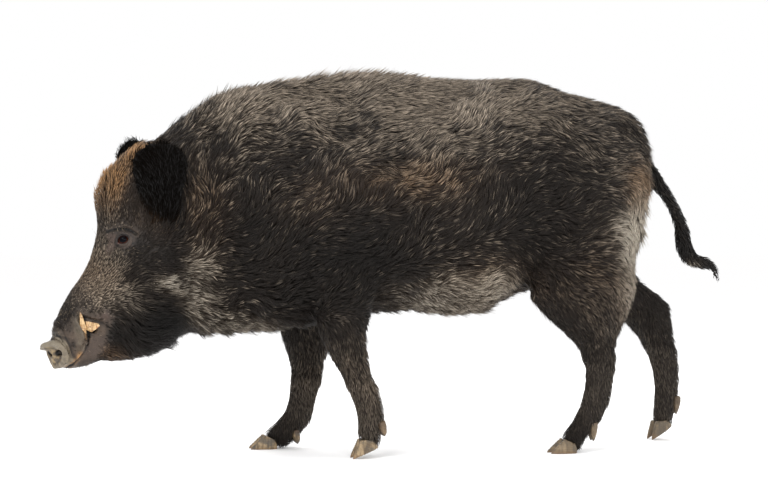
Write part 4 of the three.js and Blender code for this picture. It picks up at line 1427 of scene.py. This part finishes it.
# Eyes and lids, in mm
eyeShape = {
    "radius": 13.2, "back": 1.4, "cornea": 0.7, "pupil": (0.74, 0.56), "rings": 40, "sides": 56,
    "well": (0.0208, 0.005, 0.006),  # the hollow in the skin, metres: radius, soft edge, depth
}
lidShape = {
    "front": 12.4, "back": 11.4, "upper": 9.6, "lower": 8.9, "sides": 72, "step": 0.75,
    # out from the margin, then up from the eyeball for the upper and the lower lid, mm
    "profile": [
        (-0.9, -0.6, -0.6), (0.0, 0.6, 0.5), (0.9, 1.9, 1.5), (2.2, 2.6, 1.8), (3.8, 2.8, 1.7),
        (5.2, 2.3, 1.3), (6.6, 1.2, 0.7), (8.0, 0.2, 0.0), (9.5, -1.2, -1.2), (13.0, -3.0, -3.0),
    ],
    # creases: distance from the margin, its drift to the front, half width, side, strength
    "creases": [
        (3.4, 0.7, 0.9, 1, 0.9), (6.0, -1.0, 0.9, 1, 0.6), (4.6, 1.0, 0.9, -1, 0.7),
        (7.0, -0.6, 0.9, -1, 0.4),
    ],
}


def eyeFrame(axis, up):
    front = unit(np.cross(up, axis))
    return -front if front[0] > 0 else front


def makeEyes():
    rings, sides = eyeShape["rings"], eyeShape["sides"]
    parts = []
    for centre, axis, up in eyePlaces().values():
        front = eyeFrame(axis, up)
        centre = centre - axis * (eyeShape["back"] * millimetre)
        co = [axis * (eyeShape["radius"] + eyeShape["cornea"])]
        angles = np.linspace(0, math.pi, rings + 1)[1:-1] ** 1.15 / math.pi**0.15
        turn = np.arange(sides) / sides * 2 * math.pi
        for a in angles:
            bulge = eyeShape["cornea"] * ease(1 - a / 0.95)
            r = eyeShape["radius"] + bulge
            around = front * np.cos(turn)[:, None] + up * np.sin(turn)[:, None]
            co += list(r * (axis * math.cos(a) + around * math.sin(a)))
        co.append(-axis * eyeShape["radius"])
        builder = bmesh.new()
        verts = [builder.verts.new(centre + p * millimetre) for p in co]
        for j in range(sides):
            k = (j + 1) % sides
            builder.faces.new((verts[0], verts[1 + j], verts[1 + k]))
            for i in range(len(angles) - 1):
                a, b = 1 + i * sides, 1 + (i + 1) * sides
                builder.faces.new((verts[a + j], verts[b + j], verts[b + k], verts[a + k]))
            last = 1 + (len(angles) - 1) * sides
            builder.faces.new((verts[last + j], verts[-1], verts[last + k]))
        bmesh.ops.recalc_face_normals(builder, faces=builder.faces)
        mesh = bpy.data.meshes.new("eye")
        builder.to_mesh(mesh)
        builder.free()
        away = unit(coordsOf(mesh) - centre)
        gaze = np.arccos(np.clip(away @ axis, -1, 1))
        spin = np.arctan2(away @ up, away @ front)
        wide, tall = eyeShape["pupil"]
        oval = gaze * np.hypot(np.cos(spin) / wide, np.sin(spin) / tall)
        setAttribute(mesh, "gaze", "FLOAT", gaze)
        setAttribute(mesh, "oval", "FLOAT", oval)
        fibre = np.stack([np.cos(spin), np.sin(spin), gaze * 0.12], 1)
        setAttribute(mesh, "fibre", "FLOAT_VECTOR", fibre)
        parts.append(mesh)
    mesh = joined(parts)
    mesh.polygons.foreach_set("use_smooth", np.ones(len(mesh.polygons), bool))
    return addObject("eyes", mesh)


def makeEyeMaterial():
    material, tree, shader = newMaterial("eyeball")
    gaze = attributeNode(tree, "gaze")["Fac"]
    fibre = grain(tree, attributeNode(tree, "fibre")["Vector"], 9.0, 3.0)
    iris = mixed(tree, ranged(tree, fibre, 0.35, 0.65), shade(34, 14, 6), shade(80, 37, 15))
    iris = mixed(tree, ranged(tree, gaze, 0.74, 1.0, 0.0, 0.9), iris, shade(22, 9, 6))
    # the top of the iris is darkened: painted shadow of the upper lid
    above = separate(tree, attributeNode(tree, "fibre")["Vector"])[1]
    iris = mixed(tree, ranged(tree, above, -0.1, 0.75, 0.0, 0.85), iris, shade(16, 7, 5))
    oval = attributeNode(tree, "oval")["Fac"]
    fray = times(tree, maths(tree, "SUBTRACT", fibre, 0.5), 0.12)
    edge = maths(tree, "ADD", oval, fray)
    colour = mixed(tree, ranged(tree, edge, 0.94, 1.06), shade(3, 4, 12), iris)
    colour = mixed(tree, ranged(tree, gaze, 1.02, 1.14), colour, shade(34, 22, 18))
    tree.links.new(colour, shader.inputs["Base Color"])
    plug(tree, shader, {"Roughness": 0.3, "Specular IOR Level": 0.02})
    plug(tree, shader, {"Coat Weight": 0.11, "Coat Roughness": 0.02})
    return material


def makeLids(tree):
    sides = lidShape["sides"]
    parts, rims = [], []
    for centre, axis, up in eyePlaces().values():
        front = eyeFrame(axis, up)
        turn = np.arange(sides) / sides * 2 * math.pi
        ahead, above = np.cos(turn), np.sin(turn)
        wide = np.where(ahead > 0, lidShape["front"], lidShape["back"])
        tall = np.where(above > 0, lidShape["upper"], lidShape["lower"]) * (1 - 0.22 * ahead**2)
        outline = np.stack([ahead * wide, above * tall], 1)
        outline[:, 1] -= 1.6 * ease((ahead - 0.75) / 0.25)  # the inner corner dips
        start = np.linalg.norm(outline, axis=1)
        outward = outline / start[:, None]
        centre = centre - axis * (eyeShape["back"] * millimetre)
        radius = eyeShape["radius"] + 0.35
        sphere = np.sqrt(np.maximum(radius**2 - np.minimum(start, radius - 0.2) ** 2, 0))
        profile = np.array(lidShape["profile"])
        rows, marks = [], []
        for out in np.arange(profile[0, 0], profile[-1, 0], lidShape["step"]):
            upperRise, lowerRise = (np.interp(out, profile[:, 0], profile[:, k]) for k in (1, 2))
            rise = lowerRise + (upperRise - lowerRise) * ease(above * 0.9 + 0.5)
            crease = np.zeros(sides)
            for far, drift, half, side, strength in lidShape["creases"]:
                here = np.exp(-(((out - far - drift * ahead - 0.5 * np.sin(3 * turn)) / half) ** 2))
                crease += strength * here * ease((above * side + 0.15) / 0.5)
            flat = outward * (start + out * (1.15 if out > 0 else 1))[:, None]
            base = centre + (front * flat[:, :1] + up * flat[:, 1:]) * millimetre
            hit = [tree.ray_cast(Vector(b + axis * 0.08), Vector(-axis))[0] for b in base]
            surface = np.array([(np.array(h) - centre) @ axis / millimetre for h in hit])
            blend = ease((out - 1.0) / 6.5)
            rough = 0.9 * (noise(base * 1000, 2.6, 51) - 0.5) * ease((out - 1.5) / 3)
            height = sphere * (1 - blend) + surface * blend + rise - 1.1 * crease + rough
            rows.append(base + axis * (height * millimetre)[:, None])
            beside = turn - 2 * math.pi + 0.5 + 0.02 * out
            tear = np.exp(-((beside / 0.1) ** 2)) * ease((10 - out) / 4)
            corner = (turn + 0.35 + math.pi) % (2 * math.pi) - math.pi
            pink = np.exp(-((corner / 0.24) ** 2)) * ease((1.8 - out) / 1.2)
            tint = ease(0.2 - 0.3 * ahead - 0.9 * above) * ease((out - 0.8) / 2)
            tint = tint + 0.6 * ease(above) * np.exp(-((out - 5) ** 2))
            edge = ease((2.1 + 1.5 * ease(above + 0.3) - out) / 1.3)
            edge = edge * (1 - 0.5 * ease(-0.7 * ahead - above))
            # first channel: painted shade in the lid creases, with the dark streak at the inner
            # corner
            marks.append(np.clip(np.stack([crease + tear, tint, pink, edge], 1), 0, 1))
        co = np.concatenate(rows)
        faces = []
        for i in range(len(rows) - 1):
            for j in range(sides):
                k = (j + 1) % sides
                a, b = i * sides, (i + 1) * sides
                faces.append((a + j, a + k, b + k, b + j))
        faces = np.array(faces)
        quad = co[faces[0]]
        if np.cross(quad[1] - quad[0], quad[3] - quad[0]) @ axis < 0:
            faces = faces[:, ::-1]
        parts.append((co, faces))
        rims.append(np.concatenate(marks))
    both = np.concatenate([parts[0][1], parts[1][1] + len(parts[0][0])])
    mesh = meshFrom("eyelids", np.concatenate([parts[0][0], parts[1][0]]), both, 4)
    setAttribute(mesh, "lidMarks", "FLOAT_COLOR", np.concatenate(rims))
    holder = addObject("eyelids", mesh)
    modifier = holder.modifiers.new("smooth", "SUBSURF")
    modifier.levels = modifier.render_levels = 1
    return addObject("eyelids", bakedMesh(holder))


def makeLidMaterial(bareGroup):
    material, tree, shader = newMaterial("eyelid")
    place = objectPlace(tree)
    marks = attributeNode(tree, "lidMarks")
    parts = channels(tree, marks["Color"])
    skinned = grouped(tree, bareGroup, {
        "Place": place, "Marks": (0, 0, 0, 1), "PaintedGrooveShade": 0.0, "Tones": (0, 0, 0, 1),
    })
    colour = mixed(tree, 0.7, skinned["Color"], bareColours["lid"])
    colour = mixed(tree, times(tree, parts[1], 0.7), colour, shade(78, 68, 61))
    # painted shade in the lid creases, and the dark streak at the inner corner
    colour = mixed(tree, times(tree, parts[0], 0.85), colour, shade(18, 14, 13))
    colour = mixed(tree, times(tree, marks["Alpha"], 0.92), colour, shade(20, 14, 13))
    colour = mixed(tree, parts[2], colour, shade(150, 104, 98))
    tree.links.new(colour, shader.inputs["Base Color"])
    bumped(tree, shader, skinned["Height"], 0.6, 0.0008)
    plug(tree, shader, {"Roughness": 0.5, "Specular IOR Level": 0.3})
    return material


def sinkEyes(mesh):
    # the skin is taken in behind each eyeball, under the lids
    co = coordsOf(mesh)
    radius, soft, deep = eyeShape["well"]
    for centre, axis, _ in eyePlaces().values():
        away = co - centre
        along = away @ axis
        across = np.linalg.norm(away - along[:, None] * axis, axis=1)
        near = (along > -0.02) & (np.linalg.norm(away, axis=1) < 0.06)
        well = ease((radius - across) / soft) * near
        co -= axis * (well * np.maximum(along + deep, 0))[:, None]
    setCoords(mesh, co)


coatSeed, whiskerSeed = 100, 400
whiskerSets = {
    # name: centre and reach on the face, mm; how many; length and thickness, mm
    "chin": ((-730, 0, 222), (46, 60, 18), 150, 11, 0.3),
    "lip": ((-735, 0, 300), (46, 80, 46), 200, 11, 0.3),
    "brow": ((-662, 0, 536), (16, 110, 12), 90, 24, 0.36),
    "cheek": ((-650, 0, 470), (30, 120, 26), 50, 26, 0.36),
    "bridge": ((-775, 0, 345), (36, 60, 40), 1500, 5.5, 0.3),
}


def makeWhiskerTree(material):
    # a thin cone on every point, aimed along the point's own direction
    tree = bpy.data.node_groups.new("whiskers", "GeometryNodeTree")
    for label, kind, way in (
        ("Geometry", "NodeSocketGeometry", "INPUT"), ("Length", "NodeSocketFloat", "INPUT"),
        ("Thickness", "NodeSocketFloat", "INPUT"), ("Seed", "NodeSocketInt", "INPUT"),
        ("Geometry", "NodeSocketGeometry", "OUTPUT"),
    ):
        tree.interface.new_socket(label, in_out=way, socket_type=kind)
    given = tree.nodes.new("NodeGroupInput").outputs
    cone = addNode(tree, "GeometryNodeMeshCone", {
        "Vertices": 4, "Side Segments": 2, "Radius Bottom": given["Thickness"],
        "Depth": given["Length"],
    })
    cone.inputs["Radius Top"].default_value = 0.00004
    aim = addNode(
        tree, "GeometryNodeInputNamedAttribute", {"Name": "aim"}, data_type="FLOAT_VECTOR"
    )
    turn = addNode(tree, "FunctionNodeAlignRotationToVector", {"Vector": aim.outputs[0]}, axis="Z")
    size = addNode(
        tree, "FunctionNodeRandomValue", {2: 0.5, 3: 1.15, "Seed": given["Seed"]}, data_type="FLOAT"
    )
    placed = addNode(tree, "GeometryNodeInstanceOnPoints", {
        "Points": given["Geometry"], "Instance": cone.outputs["Mesh"], "Rotation": turn.outputs[0],
        "Scale": size.outputs[1],
    })
    real = addNode(tree, "GeometryNodeRealizeInstances", {"Geometry": placed.outputs[0]})
    done = addNode(
        tree, "GeometryNodeSetMaterial", {"Geometry": real.outputs[0], "Material": material}
    )
    tree.links.new(done.outputs[0], tree.nodes.new("NodeGroupOutput").inputs[0])
    return tree


def makeWhiskers(skinData, material):
    tree = makeWhiskerTree(material)
    socket = {
        item.name: item.identifier for item in tree.interface.items_tree if item.in_out == "INPUT"
    }
    straight, parts = skinData["straight"], []
    for number, (name, (centre, reach, count, length, thick)) in enumerate(whiskerSets.items()):
        rng = np.random.default_rng(whiskerSeed + number)
        near = np.exp(-((((straight - centre) / reach) ** 2).sum(1)))
        near *= (skinData["ring"] < 0.3) | (name == "brow")
        pick = rng.choice(len(near), count, p=near / near.sum(), replace=False)
        normal, lie = skinData["normal"][pick], skinData["lie"][pick]
        sway = rng.normal(0, 0.22, (count, 3))
        aim = unit(normal * 0.75 + lie * (0.9 if name != "chin" else 0.5) + (0, 0, -0.25) + sway)
        points = bpy.data.meshes.new(name)
        points.vertices.add(count)
        setCoords(points, skinData["co"][pick] - normal * 0.0008)
        setAttribute(points, "aim", "FLOAT_VECTOR", aim)
        holder = addObject(name, points)
        modifier = holder.modifiers.new("whiskers", "NODES")
        modifier.node_group = tree
        modifier[socket["Length"]] = length * millimetre
        modifier[socket["Thickness"]] = thick * millimetre
        modifier[socket["Seed"]] = 7 + number
        parts.append(bakedMesh(holder))
    mesh = joined(parts)
    mesh.materials.clear()
    mesh.materials.append(material)
    return addObject("whiskers", mesh)


def makeWhiskerMaterial():
    material, tree, shader = newMaterial("whisker")
    place = objectPlace(tree)
    pale = ranged(tree, grain(tree, place, 130.0), 0.5, 0.62)
    tree.links.new(
        mixed(tree, pale, shade(34, 29, 26), shade(150, 134, 112)), shader.inputs["Base Color"]
    )
    shader.inputs["Roughness"].default_value = 0.45
    return material


def makeFloor():
    # wide and pale enough that its far edge is lost in the background
    mesh = bpy.data.meshes.new("floor")
    mesh.from_pydata([(-70, -70, 0), (70, -70, 0), (70, 70, 0), (-70, 70, 0)], [], [(0, 1, 2, 3)])
    material, tree, shader = newMaterial("paleFloor")
    place = objectPlace(tree)
    haze = grain(tree, place, 0.7, 2.0)
    tree.links.new(
        mixed(tree, haze, shade(255, 254, 254), shade(255, 255, 255)), shader.inputs["Base Color"]
    )
    plug(tree, shader, {"Roughness": 1.0, "Specular IOR Level": 0.0})
    mesh.materials.append(material)
    addObject("floor", mesh)


def finishPiece(piece, material=None, nodes=()):
    if material:
        piece.data.materials.clear()
        piece.data.materials.append(material)
    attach(piece, "root")
    if nodes:
        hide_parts(*nodes)


skinTree = BVHTree.FromPolygons(coordsOf(skinMesh).tolist(), trianglesOf(skinMesh).tolist())
coatGroup, bareGroup = makeCoatGroup(), makeBareGroup()
lids = makeLids(skinTree)
finishPiece(lids, makeLidMaterial(bareGroup))
sinkEyes(skinMesh)
skinData = readSkin(skinMesh)
setAttribute(skinMesh, "marks", "FLOAT_COLOR", skinData["marks"])
setAttribute(skinMesh, "bare", "FLOAT", skinData["bare"])
for key, values in zip(("bareMarks", "bareTones"), bareMarksAt(skinData)):
    setAttribute(skinMesh, key, "FLOAT_COLOR", values)
finishPiece(skin, makeHideMaterial(coatGroup, bareGroup), fleshNodes)
finishPiece(makeEyes(), makeEyeMaterial(), ["eye_left", "eye_right"])
finishPiece(makeTusks(), makeIvoryMaterial(), tuskNodes)
finishPiece(makeHorn(), makeHornMaterial(), footNodes)
print("skin, eyes, tusks and hooves made")
finishPiece(makeWhiskers(skinData, makeWhiskerMaterial()))
bristle = makeCoatMaterial(coatGroup, "bristle", 0.25)
earBristle = makeCoatMaterial(coatGroup, "earBristle", 0.03)
skinTree = BVHTree.FromPolygons(skinData["co"].tolist(), skinData["triangles"].tolist())
for number, name in enumerate(coatPieces):
    piece = growPiece(name, skinData, skinTree, coatSeed + number)
    ears = name == "coat_ears"
    finishPiece(piece, earBristle if ears else bristle)
makeFloor()
print("coat grown")
